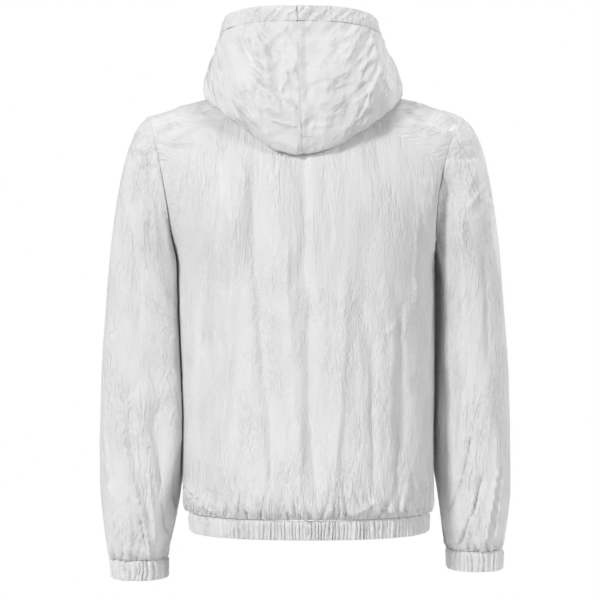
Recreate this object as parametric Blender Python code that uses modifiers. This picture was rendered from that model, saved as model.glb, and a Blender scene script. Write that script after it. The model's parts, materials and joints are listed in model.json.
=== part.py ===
"""Hooded anorak of thin woven nylon, filled out as if worn, with its hood laid back.

Metres, +Z up. The origin is the middle of the neck at the height of the two neck points of the
shoulders. The front faces -Y, the back +Y, and the wearer's left is +X.
Each piece that a maker cuts and sews is one object. Cloth is an open sheet, placed by a function of
its own width and length, and given its wall by Solidify, so the drawn surface is the outer face.
"""
from collections import namedtuple
from math import cos, exp, hypot, pi, radians, sin

import bmesh
import bpy
from mathutils import Matrix, Vector
from mathutils.bvhtree import BVHTree

# ---------------------------------------------------------------- driving dimensions
WALL = 0.0015                 # thickness of a cloth wall
SEAM = 0.0003                 # gap between two pieces that are sewn together
CASING_WALL = 0.0022          # the hood's tunnel is two layers of cloth
BAND_WALL = 0.0030            # hem band and cuffs hold an elastic between two layers

HEM_TOP = -0.6370             # where the body cloth meets the hem band
HEM_BOTTOM = -0.6640
UNDERARM = -0.2500            # height of the lowest point of the armholes
OVAL_POWER = 2.3              # 2 is an ellipse, more is squarer

NECK_HALF_WIDTH = 0.0820
NECK_BACK_DEPTH = 0.0580
NECK_BACK_DROP = 0.0100
NECK_FRONT_DEPTH = 0.0880
NECK_FRONT_DROP = 0.0780
NECK_FRONT_POWER = 1.3
SHOULDER_HALF_WIDTH = 0.2310
SHOULDER_DROP = 0.0460
UNDERARM_HALF_WIDTH = 0.1940
ARMHOLE_HALF_DEPTH = 0.0840
SIDE_DIP = 0.0450             # how far the panels' rows sink from the underarm to the centre
SIDE_DIP_POWER = 5
ROW_FULLNESS = 1.75           # slope at a row's two ends, as a share of its run, where it is roundest
YOKE_TURN = radians(90)       # how far a row has turned towards the front where it ends at the underarm
FULL_TO = 0.6                 # how far up the yoke a row is still rounder than a straight line
SIDE_FULL_TO = 0.4            # the same at the row's outer end

SLIT_HALF_WIDTH = 0.0035
TAPE_INNER = 0.0024           # how far from the middle a zip tape runs, inner and outer edge
TAPE_OUTER = 0.0130
TAPE_WALL = 0.0010
TAPE_DEPTH = 0.0028           # of the tape's face under the cloth's outer face
NECK_DIP = 0.0020             # how much deeper the tapes pass behind the neck seam
NECK_DIP_REACH = 0.0140
CHAIN_HALF_WIDTH = 0.0027
CHAIN_WALL = 0.0022
CHAIN_PROUD = 0.0001          # the closed teeth stand out of the slit by this
STOP_HEIGHT = 0.0030
STOP_PROUD = 0.0006
ZIP_TOP = -0.0215             # upper end of the closed teeth, just under the slider's wedge

SLIDER_HALF_WIDTH = 0.0042
SLIDER_BOTTOM = -0.0050       # slider's own heights, from the teeth's upper end
SLIDER_TOP = 0.0040
SLIDER_FACE = 0.0004          # underside of its front plate, out from the cloth
SLIDER_PLATE = 0.0012
SLIDER_BACK = -0.0043         # upper side of its back plate
WEDGE_HALF_WIDTH = 0.0018     # the block that joins the two plates, above the closed teeth
WEDGE_BOTTOM = 0.0005
WEDGE_TOP = 0.0035
EAR_INNER = 0.0016            # the two ears hold the pin
EAR_OUTER = 0.0024
EAR_HALF_HEIGHT = 0.0016
EAR_PAST_PIN = 0.0012         # how far an ear stands out past the middle of the pin
SUNK = 0.0004                 # how deep a part of the metal starts inside the one it stands on
PIN_HEIGHT = 0.0005
PIN_OUT = 0.0038
PIN_RADIUS = 0.0005
EYE_BORE = 0.0008
EYE_RADIUS = 0.0019
EYE_HALF_WIDTH = 0.0012
TAB_HALF_WIDTH = 0.0028
TAB_HALF_WALL = 0.0006
TAB_LENGTH = 0.0240
TAB_SHOULDER = 0.0045         # from the pin down to where the tab is at full width
GRIP_RADIUS = 0.0012          # the hole near the tab's end
GRIP_FROM_END = 0.0045
TAB_REST = radians(6)         # how far the hanging tab leans in, so that its end nears the cloth
ROUND_SIDES = 16              # flat sides that make up a round hole or eye
PIN_SIDES = 12

LEFT = 1
RIGHT = -1
SIDE_NAMES = {LEFT: "left", RIGHT: "right"}
BACK = 1
FRONT = -1
DEPTH_NAMES = {BACK: "back_depth", FRONT: "front_depth"}

NYLON_COLOUR = (0.80, 0.80, 0.80)
GATHERED_COLOUR = (0.78, 0.78, 0.78)
TAPE_COLOUR = (0.76, 0.76, 0.76)
METAL_COLOUR = (0.62, 0.62, 0.63)

MERGE_DISTANCE = 0.00005      # points of a sheet closer than this are one point
CLOTH_EDGE_ANGLE = radians(50)    # faces that meet more sharply than this show an edge
METAL_EDGE_ANGLE = radians(40)

PANEL_COLUMNS = 24            # grid of the back and of the front
ROWS_BELOW = 9                # from the hem to the underarm
ROWS_ABOVE = 12               # from the underarm to the shoulder
NECK_ROW = {BACK: 7, FRONT: 6}    # the row above the underarm at which the neck's opening starts
SLIT_ROW = 8                  # the row above the hem at which the front's slit ends
MIDDLE_SHARE = 0.010          # of a panel's width, between its two middle columns
OFF_MIDDLE = 1e-9             # a place across that is on the middle line and still has a side
AT_SEAM = 0.999               # a place across from which a point lies on the panel's edge
SLEEVE_COLUMNS = 16
SLEEVE_ROWS = 17
BAND_COLUMNS = 40
HOOD_COLUMNS = 14
HOOD_ROWS = 13
HOOD_CROWDING = 0.07          # how much closer the hood's rows lie at the fold

# ---------------------------------------------------------------- sections, one row each
TorsoRing = namedtuple("TorsoRing", "height half_width back_depth front_depth sideways")
TORSO_RINGS = [
    TorsoRing(-0.6370, 0.1775, 0.1170, 0.1080, -0.0060),
    TorsoRing(-0.6270, 0.1830, 0.1270, 0.1150, -0.0060),
    TorsoRing(-0.6100, 0.1865, 0.1310, 0.1180, -0.0060),
    TorsoRing(-0.5700, 0.1875, 0.1320, 0.1200, -0.0055),
    TorsoRing(-0.5000, 0.1880, 0.1310, 0.1200, -0.0045),
    TorsoRing(-0.4200, 0.1900, 0.1300, 0.1210, -0.0025),
    TorsoRing(-0.3300, 0.1925, 0.1300, 0.1210, 0.0000),
    TorsoRing(-0.2500, 0.1940, 0.1300, 0.1200, 0.0000),
]

CentreLine = namedtuple("CentreLine", "height back_depth front_depth")
CENTRE_LINES = [
    CentreLine(-0.3000, 0.1300, 0.1200),
    CentreLine(-0.2400, 0.1310, 0.1195),
    CentreLine(-0.1900, 0.1300, 0.1170),
    CentreLine(-0.1400, 0.1250, 0.1110),
    CentreLine(-0.1000, 0.1160, 0.0990),
    CentreLine(-0.0780, 0.1080, 0.0880),
    CentreLine(-0.0450, 0.0880, 0.0800),
    CentreLine(-0.0100, 0.0580, 0.0700),
]

SleeveRing = namedtuple(
    "SleeveRing", "outer_x outer_z inner_left_x inner_right_x inner_z half_depth forward bow"
)
SLEEVE_RINGS = [
    SleeveRing(0.2310, -0.0460, 0.1940, 0.1940, -0.2500, 0.0840, 0.000, 1.0),
    SleeveRing(0.2480, -0.0620, 0.1970, 0.1980, -0.2640, 0.0855, 0.000, 0.7),
    SleeveRing(0.2620, -0.0900, 0.1985, 0.2010, -0.2790, 0.0860, 0.000, 0.4),
    SleeveRing(0.2730, -0.1300, 0.1980, 0.2030, -0.2960, 0.0850, -0.001, 0.2),
    SleeveRing(0.2820, -0.1800, 0.1970, 0.2040, -0.3180, 0.0830, -0.002, 0.0),
    SleeveRing(0.2900, -0.2400, 0.1955, 0.2040, -0.3440, 0.0810, -0.004, 0.0),
    SleeveRing(0.2960, -0.3050, 0.1935, 0.2030, -0.3740, 0.0790, -0.006, 0.0),
    SleeveRing(0.3010, -0.3700, 0.1920, 0.2010, -0.4120, 0.0770, -0.008, 0.0),
    SleeveRing(0.3050, -0.4350, 0.1900, 0.1990, -0.4580, 0.0750, -0.010, 0.0),
    SleeveRing(0.3070, -0.5000, 0.1870, 0.1970, -0.5100, 0.0730, -0.012, 0.0),
    SleeveRing(0.3075, -0.5600, 0.1840, 0.1970, -0.5640, 0.0700, -0.015, 0.0),
    SleeveRing(0.3060, -0.6150, 0.1890, 0.1990, -0.6160, 0.0670, -0.018, 0.0),
    SleeveRing(0.3020, -0.6600, 0.1970, 0.2040, -0.6600, 0.0620, -0.020, 0.0),
    SleeveRing(0.2970, -0.6900, 0.2045, 0.2080, -0.6900, 0.0540, -0.022, 0.0),
    SleeveRing(0.2925, -0.7060, 0.2080, 0.2110, -0.7060, 0.0450, -0.023, 0.0),
]
CUFF_HEIGHT = 0.0290
CUFF_TAPER = 0.97             # the cuff's lower edge, as a share of its upper edge
BAND_TAPER = 0.994

# how far an armhole curves in, how far the wrist swings out, and the sleeve's length by its own scale
ArmSide = namedtuple("ArmSide", "bow swing stretch inner")
ARM_SIDES = {
    LEFT: ArmSide(0.0060, 0.0000, 1.006, "inner_left_x"),
    RIGHT: ArmSide(0.0150, 0.0050, 0.977, "inner_right_x"),
}

HoodPlace = namedtuple("HoodPlace", "turn x y z")
HOOD_SIDE_TURN = 8 / 14       # the turn at which the hood stands over the shoulder seam
# the lines that the hood's profile runs through, each from the back (turn 0) to the front (turn 1)
HOOD_LINES = {
    "under": [
        HoodPlace(0.00, 0.000, 0.100, -0.060),
        HoodPlace(0.16, 0.045, 0.096, -0.050),
        HoodPlace(0.31, 0.088, 0.068, -0.028),
        HoodPlace(0.45, 0.104, 0.034, -0.012),
        HoodPlace(HOOD_SIDE_TURN, 0.110, 0.003, -0.004),
        HoodPlace(0.73, 0.098, -0.040, -0.022),
        HoodPlace(0.88, 0.054, -0.083, -0.060),
        HoodPlace(1.00, 0.003, -0.091, -0.074),
    ],
    "fold": [
        HoodPlace(0.00, 0.000, 0.126, -0.112),
        HoodPlace(0.16, 0.050, 0.125, -0.100),
        HoodPlace(0.31, 0.104, 0.104, -0.063),
        HoodPlace(0.45, 0.134, 0.062, -0.036),
        HoodPlace(HOOD_SIDE_TURN, 0.144, 0.004, -0.014),
        HoodPlace(0.73, 0.116, -0.048, -0.028),
        HoodPlace(0.88, 0.060, -0.086, -0.058),
        HoodPlace(1.00, 0.003, -0.092, -0.070),
    ],
    "bulge": [
        HoodPlace(0.00, 0.000, 0.138, -0.030),
        HoodPlace(0.16, 0.062, 0.134, -0.026),
        HoodPlace(0.31, 0.116, 0.108, -0.012),
        HoodPlace(0.45, 0.138, 0.060, 0.006),
        HoodPlace(HOOD_SIDE_TURN, 0.139, 0.000, 0.020),
        HoodPlace(0.73, 0.118, -0.046, 0.000),
        HoodPlace(0.88, 0.064, -0.084, -0.026),
        HoodPlace(1.00, 0.003, -0.0935, -0.045),
    ],
    "rim": [
        HoodPlace(0.00, 0.000, 0.098, 0.104),
        HoodPlace(0.16, 0.060, 0.092, 0.103),
        HoodPlace(0.31, 0.105, 0.072, 0.095),
        HoodPlace(0.45, 0.114, 0.038, 0.080),
        HoodPlace(HOOD_SIDE_TURN, 0.112, 0.000, 0.062),
        HoodPlace(0.73, 0.092, -0.038, 0.040),
        HoodPlace(0.88, 0.050, -0.072, 0.010),
        HoodPlace(1.00, 0.003, -0.0885, -0.012),
    ],
}
HOOD_STEPS = (0.0, 0.20, 0.42, 0.70, 1.0)    # neck, under layer, fold, bulge, rim
CASING_HEIGHT = 0.0240
CASING_SEAM = 0.0005          # gap along the hood's profile between hood and casing
HOOD_LEAN = 0.0120            # the hood leans to the wearer's left by this at its back rim
LEAN_POWER = 1.5
NECK_RISE = 0.0009            # the hood's neck seam stands on the panels' edge by this
HOOD_CLEARANCE = 0.0040       # between the hood's under layer and the shoulders it lies on
REST_FROM = 0.01              # the stretch of the profile that may lie on the shoulders
REST_TO = 0.55
REST_RAMP = 0.1               # by this share the clearance has grown to its full size
ZIP_FROM = 0.5                # the zip runs up the hood's front edge from this share of its profile

# A fold is a soft ridge (height above zero) or trough (below zero). Its middle line runs from first_x,
# first_z to last_x, last_z, as seen from behind or in front, and width is how far its sides reach.
Fold = namedtuple("Fold", "first_x first_z last_x last_z width height")
BACK_FOLDS = [
    Fold(0.074, -0.190, 0.050, -0.600, 0.020, -0.0045),
    Fold(-0.010, -0.110, -0.014, -0.610, 0.016, -0.0040),
    Fold(-0.146, -0.330, -0.144, -0.540, 0.012, -0.0040),
    Fold(0.148, -0.290, 0.142, -0.420, 0.012, -0.0030),
    Fold(0.110, -0.200, 0.116, -0.610, 0.018, 0.0035),
    Fold(0.030, -0.260, 0.006, -0.560, 0.016, 0.0030),
    Fold(-0.058, -0.180, -0.046, -0.600, 0.022, 0.0030),
    Fold(-0.100, -0.350, -0.095, -0.610, 0.020, -0.0025),
]
FRONT_FOLDS = [
    Fold(0.110, -0.260, 0.070, -0.600, 0.020, -0.0040),
    Fold(-0.090, -0.240, -0.075, -0.610, 0.018, -0.0040),
    Fold(0.055, -0.360, 0.020, -0.610, 0.016, 0.0030),
    Fold(-0.030, -0.380, -0.024, -0.600, 0.016, -0.0030),
    Fold(0.140, -0.350, 0.135, -0.590, 0.014, 0.0030),
    Fold(-0.135, -0.300, -0.130, -0.600, 0.014, 0.0030),
]
SLEEVE_FOLDS = {
    LEFT: [
        Fold(0.276, -0.500, 0.243, -0.680, 0.012, 0.0035),
        Fold(0.300, -0.520, 0.272, -0.690, 0.012, 0.0030),
        Fold(0.206, -0.540, 0.214, -0.640, 0.010, -0.0035),
        Fold(0.246, -0.420, 0.230, -0.640, 0.014, -0.0030),
        Fold(0.250, -0.130, 0.205, -0.150, 0.012, -0.0030),
    ],
    RIGHT: [
        Fold(0.250, -0.520, 0.224, -0.630, 0.012, -0.0035),
        Fold(0.268, -0.580, 0.236, -0.690, 0.012, -0.0035),
        Fold(0.290, -0.520, 0.274, -0.680, 0.012, 0.0035),
        Fold(0.276, -0.140, 0.240, -0.190, 0.012, 0.0035),
        Fold(0.216, -0.108, 0.258, -0.108, 0.010, -0.0035),
    ],
}


# ---------------------------------------------------------------- small helpers
def clear_scene():
    for old in list(bpy.data.objects):
        bpy.data.objects.remove(old, do_unlink=True)


def collection(name):
    made = bpy.data.collections.new(name)
    bpy.context.scene.collection.children.link(made)
    return made


def smooth_step(value):
    value = min(max(value, 0.0), 1.0)
    return value * value * (3 - 2 * value)


def mix(first, last, share):
    return first + (last - first) * share


def read_curve(keys, values, at):
    """A smooth curve through a short table, with no overshoot past its ends."""
    count = len(keys)
    at = min(max(at, keys[0]), keys[-1])
    index = max(i for i in range(count - 1) if keys[i] <= at)
    slopes = []
    for i in (index, index + 1):
        before = max(i - 1, 0)
        after = min(i + 1, count - 1)
        slopes.append((values[after] - values[before]) / (keys[after] - keys[before]))
    span = keys[index + 1] - keys[index]
    t = (at - keys[index]) / span
    start = (1 + 2 * t) * (1 - t) ** 2
    start_slope = t * (1 - t) ** 2
    end = t * t * (3 - 2 * t)
    end_slope = t * t * (t - 1)
    return (
        values[index] * start
        + values[index + 1] * end
        + span * (slopes[0] * start_slope + slopes[1] * end_slope)
    )


def column(rows, name):
    return [getattr(row, name) for row in rows]


def oval(angle, half_width, half_depth, power=OVAL_POWER):
    """A point of a squarish oval, seen from its centre at this angle."""
    across = abs(cos(angle)) / half_width
    deep = abs(sin(angle)) / half_depth
    reach = (across ** power + deep ** power) ** (-1 / power)
    return reach * cos(angle), reach * sin(angle)


def fold_height(folds, x, z):
    """Sum of the folds' heights at a place on a panel, each fading at its ends."""
    total = 0.0
    for fold in folds:
        run_x = fold.last_x - fold.first_x
        run_z = fold.last_z - fold.first_z
        length = hypot(run_x, run_z)
        along = ((x - fold.first_x) * run_x + (z - fold.first_z) * run_z) / length ** 2
        away = ((x - fold.first_x) * run_z - (z - fold.first_z) * run_x) / length
        fade = smooth_step((along + 0.15) / 0.3) * smooth_step((1.15 - along) / 0.3)
        total += fold.height * fade * exp(-((away / fold.width) ** 2))
    return total


# ---------------------------------------------------------------- the body of the garment
def torso_point(height, angle):
    """The outer face of the body cloth below the underarm. Angle 0 is the wearer's left side."""
    heights = column(TORSO_RINGS, "height")
    half_width = read_curve(heights, column(TORSO_RINGS, "half_width"), height)
    sideways = read_curve(heights, column(TORSO_RINGS, "sideways"), height)
    depth_name = "back_depth" if sin(angle) >= 0 else "front_depth"
    depth = read_curve(heights, column(TORSO_RINGS, depth_name), height)
    x, y = oval(angle, half_width, depth)
    return Vector((x + sideways, y, height))


def armhole_reach(side, rise):
    """How far out the armhole's seam lies, rise running from -1 (underarm) to 1 (shoulder)."""
    middle = (SHOULDER_HALF_WIDTH + UNDERARM_HALF_WIDTH) / 2
    lean = (SHOULDER_HALF_WIDTH - UNDERARM_HALF_WIDTH) / 2
    return middle + lean * rise - ARM_SIDES[side].bow * (1 - rise * rise)


ARMHOLE_MIDDLE_Z = (UNDERARM - SHOULDER_DROP) / 2
ARMHOLE_HALF_HEIGHT = -(UNDERARM + SHOULDER_DROP) / 2


def armhole_point(side, facing, share):
    """The armhole's edge from the underarm (share 0) to the shoulder (1), by the back or front."""
    depth, height = oval(pi * (share - 0.5), ARMHOLE_HALF_DEPTH, ARMHOLE_HALF_HEIGHT)
    rise = height / ARMHOLE_HALF_HEIGHT
    x = armhole_reach(side, rise)
    return Vector((side * x, facing * depth, ARMHOLE_MIDDLE_Z + ARMHOLE_HALF_HEIGHT * rise))


def neck_point(angle):
    """The neck seam. Angle 0 is the wearer's left, 90 degrees the back."""
    x = NECK_HALF_WIDTH * cos(angle)
    if sin(angle) >= 0:
        return Vector((x, NECK_BACK_DEPTH * sin(angle), -NECK_BACK_DROP * sin(angle) ** 2))
    deep = -sin(angle)
    return Vector((x, -NECK_FRONT_DEPTH * deep, -NECK_FRONT_DROP * deep ** NECK_FRONT_POWER))


def panel_inner(facing, up):
    """A panel's middle from the yoke row (up 0) up the centre line, then round the neck to up 1."""
    neck_up = NECK_ROW[facing] / ROWS_ABOVE
    if up <= neck_up:
        first = UNDERARM - SIDE_DIP
        last = -NECK_BACK_DROP if facing > 0 else -NECK_FRONT_DROP
        height = mix(first, last, up / neck_up)
        heights = column(CENTRE_LINES, "height")
        depth = read_curve(heights, column(CENTRE_LINES, DEPTH_NAMES[facing]), height)
        return Vector((0.0, facing * depth, height))
    return neck_point(facing * pi / 2 * (1 - up) / (1 - neck_up))


def body_point(side, facing, share, height):
    """The body cloth at this height, share running from the middle line (0) to a side seam (1)."""
    angle = facing * pi / 2 * (1 - share)
    if side < 0:
        angle = pi - angle
    return torso_point(height, angle)


def row_sink(share):
    """How far the row at the underarm sinks towards the middle of a panel."""
    return SIDE_DIP * (1 - share ** SIDE_DIP_POWER)


def shoulder_row(side, facing, share, up):
    """A row from the centre or neck to the armhole, as one curve with a slope at each end."""
    inner = panel_inner(facing, up)
    outer = armhole_point(LEFT, facing, up)
    outer.x = abs(armhole_point(side, facing, up).x)
    run = outer - inner
    turn = YOKE_TURN * (1 - up) ** 2
    fullness = mix(ROW_FULLNESS, 1.0, smooth_step(up / FULL_TO))
    inner_slope = Vector((fullness * run.x, 0, 0))
    reach = mix(ROW_FULLNESS * abs(run.y), run.x, smooth_step(up / SIDE_FULL_TO))
    outer_slope = Vector((reach * cos(turn), -facing * reach * sin(turn), run.z))
    neck_up = NECK_ROW[facing] / ROWS_ABOVE
    past_neck = smooth_step((up - neck_up) / (1 - neck_up))
    inner_slope = inner_slope.lerp(run, past_neck)
    outer_slope = outer_slope.lerp(run, past_neck)
    rest = 1 - share
    point = (
        inner * (1 + 2 * share) * rest ** 2
        + inner_slope * share * rest ** 2
        + outer * share ** 2 * (3 - 2 * share)
        + outer_slope * share ** 2 * (share - 1)
    )
    point.x *= side
    return point


def panel_point(facing, across, up):
    """The back (facing 1) or front (-1) panel: across -1..1, up 0..1 hem to underarm, then 1..2."""
    side = LEFT if across >= 0 else RIGHT
    share = abs(across)
    if up <= 1:
        return body_point(side, facing, share, mix(HEM_TOP, UNDERARM, up) - row_sink(share) * up ** 3)
    up = up - 1
    joined = body_point(side, facing, share, UNDERARM - row_sink(share))
    missed = joined - shoulder_row(side, facing, share, 0.0)
    return shoulder_row(side, facing, share, up) + missed * (1 - up) ** 3


# ---------------------------------------------------------------- sheets
def sheet(name, columns, rows, place, outward, skip=None, across=None):
    """A grid of faces placed by place(u, v), u and v from 0 to 1, as a new mesh."""
    grid = bmesh.new()
    bmesh.ops.create_grid(grid, x_segments=columns, y_segments=rows, size=0.5)
    for vert in grid.verts:
        u = vert.co.x + 0.5
        v = vert.co.y + 0.5
        if across:
            u = across[round(u * columns)]
        vert.co = (u, v, 0)
    if skip:
        unwanted = [face for face in grid.faces if skip(*face.calc_center_median()[:2])]
        bmesh.ops.delete(grid, geom=unwanted, context="FACES")
    for vert in grid.verts:
        vert.co = place(vert.co.x, vert.co.y)
    bmesh.ops.remove_doubles(grid, verts=grid.verts, dist=MERGE_DISTANCE)
    grid.normal_update()
    sample = max(grid.faces, key=lambda face: face.calc_area())
    if sample.normal.dot(outward(sample.calc_center_median())) < 0:
        bmesh.ops.reverse_faces(grid, faces=grid.faces)
    mesh = bpy.data.meshes.new(name)
    grid.to_mesh(mesh)
    grid.free()
    return mesh


def push_folds(mesh, folds):
    """Raise and sink a sheet along its own normals by its table of folds."""
    normals = [vert.normal.copy() for vert in mesh.vertices]
    for vert, normal in zip(mesh.vertices, normals):
        vert.co += normal * fold_height(folds, vert.co.x, vert.co.z)


def cloth_object(mesh, wall, finish, parts, trim=None):
    """Give a sheet its wall, on the inner side, and trim the wall's inner edge at the seams."""
    made = bpy.data.objects.new(mesh.name, mesh)
    parts.objects.link(made)
    solid = made.modifiers.new("wall", "SOLIDIFY")
    solid.thickness = wall
    solid.offset = -1
    solid.use_even_offset = True
    solid.use_quality_normals = True
    graph = bpy.context.evaluated_depsgraph_get()
    walled = bpy.data.meshes.new_from_object(made.evaluated_get(graph))
    made.modifiers.clear()
    made.data = walled
    outer_count = len(mesh.vertices)
    if trim:
        for index in range(outer_count):
            trim(walled.vertices[index].co, walled.vertices[index + outer_count].co)
    bpy.data.meshes.remove(mesh)
    walled.name = made.name
    walled.materials.clear()
    walled.materials.append(finish)
    walled.shade_smooth()
    walled.set_sharp_from_angle(angle=CLOTH_EDGE_ANGLE)
    return made


def material(name, colour, roughness, metallic=0.0):
    made = bpy.data.materials.new(name)
    made.use_nodes = True
    shader = made.node_tree.nodes["Principled BSDF"]
    shader.inputs["Base Color"].default_value = (*colour, 1)
    shader.inputs["Roughness"].default_value = roughness
    shader.inputs["Metallic"].default_value = metallic
    made.diffuse_color = (*colour, 1)
    return made


def away_from_axis(point):
    return Vector((point.x, point.y, 0))


def trim_at_armhole(point, side_of_seam):
    """Keep a point on its own side (-1 torso, 1 sleeve) of the armhole's seam."""
    rise = (point.z - ARMHOLE_MIDDLE_Z) / ARMHOLE_HALF_HEIGHT
    if abs(rise) > 1:
        return
    side = LEFT if point.x >= 0 else RIGHT
    limit = armhole_reach(side, rise) + side_of_seam * SEAM / 2
    if side_of_seam * abs(point.x) < side_of_seam * limit:
        point.x = side * limit


# ---------------------------------------------------------------- back and front
def panel_up(v):
    """Grid rows are spread evenly below the underarm and evenly above it."""
    row = v * (ROWS_BELOW + ROWS_ABOVE)
    if row <= ROWS_BELOW:
        return row / ROWS_BELOW
    return 1 + (row - ROWS_BELOW) / ROWS_ABOVE


def panel_place(facing, across, up):
    point = panel_point(facing, across, up)
    point.y += facing * SEAM / 2
    if abs(across) > AT_SEAM and up >= 1:
        point.x -= (SEAM / 2) * (1 if point.x > 0 else -1)
    return point


def panel_sheet(name, facing, opening_row, folds):
    """A panel with its two middle columns apart: above opening_row nothing joins them."""
    half = PANEL_COLUMNS // 2
    steps = [0.5 * i / half for i in range(half)]
    steps += [0.5 - MIDDLE_SHARE / 2, 0.5 + MIDDLE_SHARE / 2]
    steps += [0.5 + 0.5 * i / half for i in range(1, half + 1)]
    rows = ROWS_BELOW + ROWS_ABOVE

    def place(u, v):
        across = 1 - 2 * u
        up = panel_up(v)
        inner = abs(across) < 2 * MIDDLE_SHARE
        if inner and up > 1:
            across = OFF_MIDDLE if across > 0 else -OFF_MIDDLE
        point = panel_place(facing, across, up)
        if inner:
            point.x = max(abs(point.x), SLIT_HALF_WIDTH) * (1 if across > 0 else -1)
        return point

    def skip(u, v):
        return abs(u - 0.5) < MIDDLE_SHARE / 2 and v > opening_row / rows

    mesh = sheet(name, len(steps) - 1, rows, place, away_from_axis, skip=skip, across=steps)
    push_folds(mesh, folds)
    return mesh


def back_sheet():
    return panel_sheet("back", BACK, ROWS_BELOW + NECK_ROW[BACK], BACK_FOLDS)


def front_sheet():
    return panel_sheet("front", FRONT, SLIT_ROW, FRONT_FOLDS)


def trim_back(outer, inner):
    inner.y = max(inner.y, SEAM / 2)
    trim_at_armhole(inner, -1)


def trim_front(outer, inner):
    inner.y = min(inner.y, -SEAM / 2)
    trim_at_armhole(inner, -1)


# ---------------------------------------------------------------- sleeves, cuffs and hem band
def sleeve_point(side, angle, along):
    """A sleeve's outer face. Angle 0 is its back, 90 degrees its outer edge, -90 its inner edge."""
    arm = ARM_SIDES[side]
    keys = list(range(len(SLEEVE_RINGS)))
    at = along * keys[-1]

    def read(name):
        return read_curve(keys, column(SLEEVE_RINGS, name), at)

    span = hypot(read("outer_x") - read(arm.inner), read("outer_z") - read("inner_z")) / 2
    depth, height = oval(angle, read("half_depth"), span)
    rise = height / span
    x = mix(read(arm.inner), read("outer_x"), (1 + rise) / 2)
    x -= arm.bow * read("bow") * (1 - rise * rise)
    x += arm.swing * along ** 4
    z = mix(read("inner_z"), read("outer_z"), (1 + rise) / 2)
    if z < UNDERARM:
        z = UNDERARM + (z - UNDERARM) * arm.stretch
    return Vector((side * x, depth + read("forward"), z))


def sleeve_sheet(side):
    def place(u, v):
        point = sleeve_point(side, 2 * pi * u - pi / 2, v)
        point.x += side * SEAM / 2 * (1 - v)
        return point

    middle_ring = SLEEVE_RINGS[len(SLEEVE_RINGS) // 2]
    axis_x = (middle_ring.outer_x + middle_ring.inner_left_x) / 2

    def outward(point):
        return Vector((point.x - side * axis_x, point.y, 0))

    mesh = sheet("sleeve_" + SIDE_NAMES[side], SLEEVE_COLUMNS, SLEEVE_ROWS, place, outward)
    push_folds(mesh, SLEEVE_FOLDS[side])
    return mesh


def trim_sleeve(outer, inner):
    trim_at_armhole(inner, 1)


def cuff_sheet(side):
    middle = sum((sleeve_point(side, k * pi / 2, 1.0) for k in range(4)), Vector()) / 4
    top = middle.z - SEAM

    def place(u, v):
        rim = sleeve_point(side, 2 * pi * u - pi / 2, 1.0)
        point = middle + (rim - middle) * mix(CUFF_TAPER, 1.0, v)
        point.z = mix(top - CUFF_HEIGHT, top, v)
        return point

    def outward(point):
        return point - middle

    return sheet("cuff_" + SIDE_NAMES[side], SLEEVE_COLUMNS, 1, place, outward)


def band_sheet():
    def place(u, v):
        rim = torso_point(HEM_TOP, 2 * pi * u)
        share = mix(BAND_TAPER, 1.0, v)
        return Vector((rim.x * share, rim.y * share, mix(HEM_BOTTOM, HEM_TOP - SEAM, v)))

    return sheet("hem_band", BAND_COLUMNS, 1, place, away_from_axis)


# ---------------------------------------------------------------- hood
def hood_place(line, turn):
    """Where one line of the hood's profile lies at this turn, 0 at the back, 1 at the front."""
    turns = column(line, "turn")
    return Vector([read_curve(turns, column(line, axis), turn) for axis in "xyz"])


def hood_profile(turn):
    if turn <= HOOD_SIDE_TURN:
        angle = pi / 2 * (1 - turn / HOOD_SIDE_TURN)
    else:
        angle = -pi / 2 * (turn - HOOD_SIDE_TURN) / (1 - HOOD_SIDE_TURN)
    neck = neck_point(angle) + Vector((0, 0, NECK_RISE))
    return [neck] + [hood_place(line, turn) for line in HOOD_LINES.values()]


def share_below_rim(turn, distance):
    """The share of the profile that lies this far below the rim."""
    bulge, rim = hood_profile(turn)[-2:]
    return 1 - (HOOD_STEPS[-1] - HOOD_STEPS[-2]) * distance / (rim - bulge).length


def hood_lean(turn, share):
    return HOOD_LEAN * share ** LEAN_POWER * (1 - turn)


def hood_point(side, turn, share):
    places = hood_profile(turn)
    axes = ([place[axis] for place in places] for axis in range(3))
    point = Vector([read_curve(HOOD_STEPS, values, share) for values in axes])
    edge = mix(SEAM / 2, SLIT_HALF_WIDTH, turn)
    point.x = side * max(point.x, edge) + hood_lean(turn, share)
    return point


def rest_on(point, body, clearance):
    """Lift a point off a surface that it would touch or sink into."""
    near, normal, _, _ = body.find_nearest(point)
    gap = (point - near).dot(normal)
    if gap < clearance:
        point = point + normal * (clearance - gap)
    return point


def hood_row_share(turn, v):
    """Where a row of the hood's grid lies on its profile; the rows crowd at the fold."""
    top = share_below_rim(turn, CASING_HEIGHT + CASING_SEAM)
    return top * (v + HOOD_CROWDING * sin(2 * pi * v))


def hood_sheet(side, body):
    def place(u, v):
        turn = u
        share = hood_row_share(turn, v)
        point = hood_point(side, turn, share)
        if REST_FROM < share < REST_TO:
            point = rest_on(point, body, HOOD_CLEARANCE * smooth_step(share / REST_RAMP) + NECK_RISE)
        if turn < 1 - AT_SEAM:
            point.x = side * SEAM / 2 + hood_lean(turn, share)
        return point

    return sheet("hood_" + SIDE_NAMES[side], HOOD_COLUMNS, HOOD_ROWS, place, away_from_axis)


def trim_hood(outer, inner):
    """Keep the wall's edge square to the centre seam and to the slit."""
    if abs(outer.x) < HOOD_LEAN + SEAM:
        inner.x = outer.x


def casing_sheet(side):
    def place(u, v):
        return hood_point(side, u, mix(share_below_rim(u, CASING_HEIGHT), 1.0, v))

    return sheet("hood_casing_" + SIDE_NAMES[side], HOOD_COLUMNS, 1, place, away_from_axis)


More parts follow.
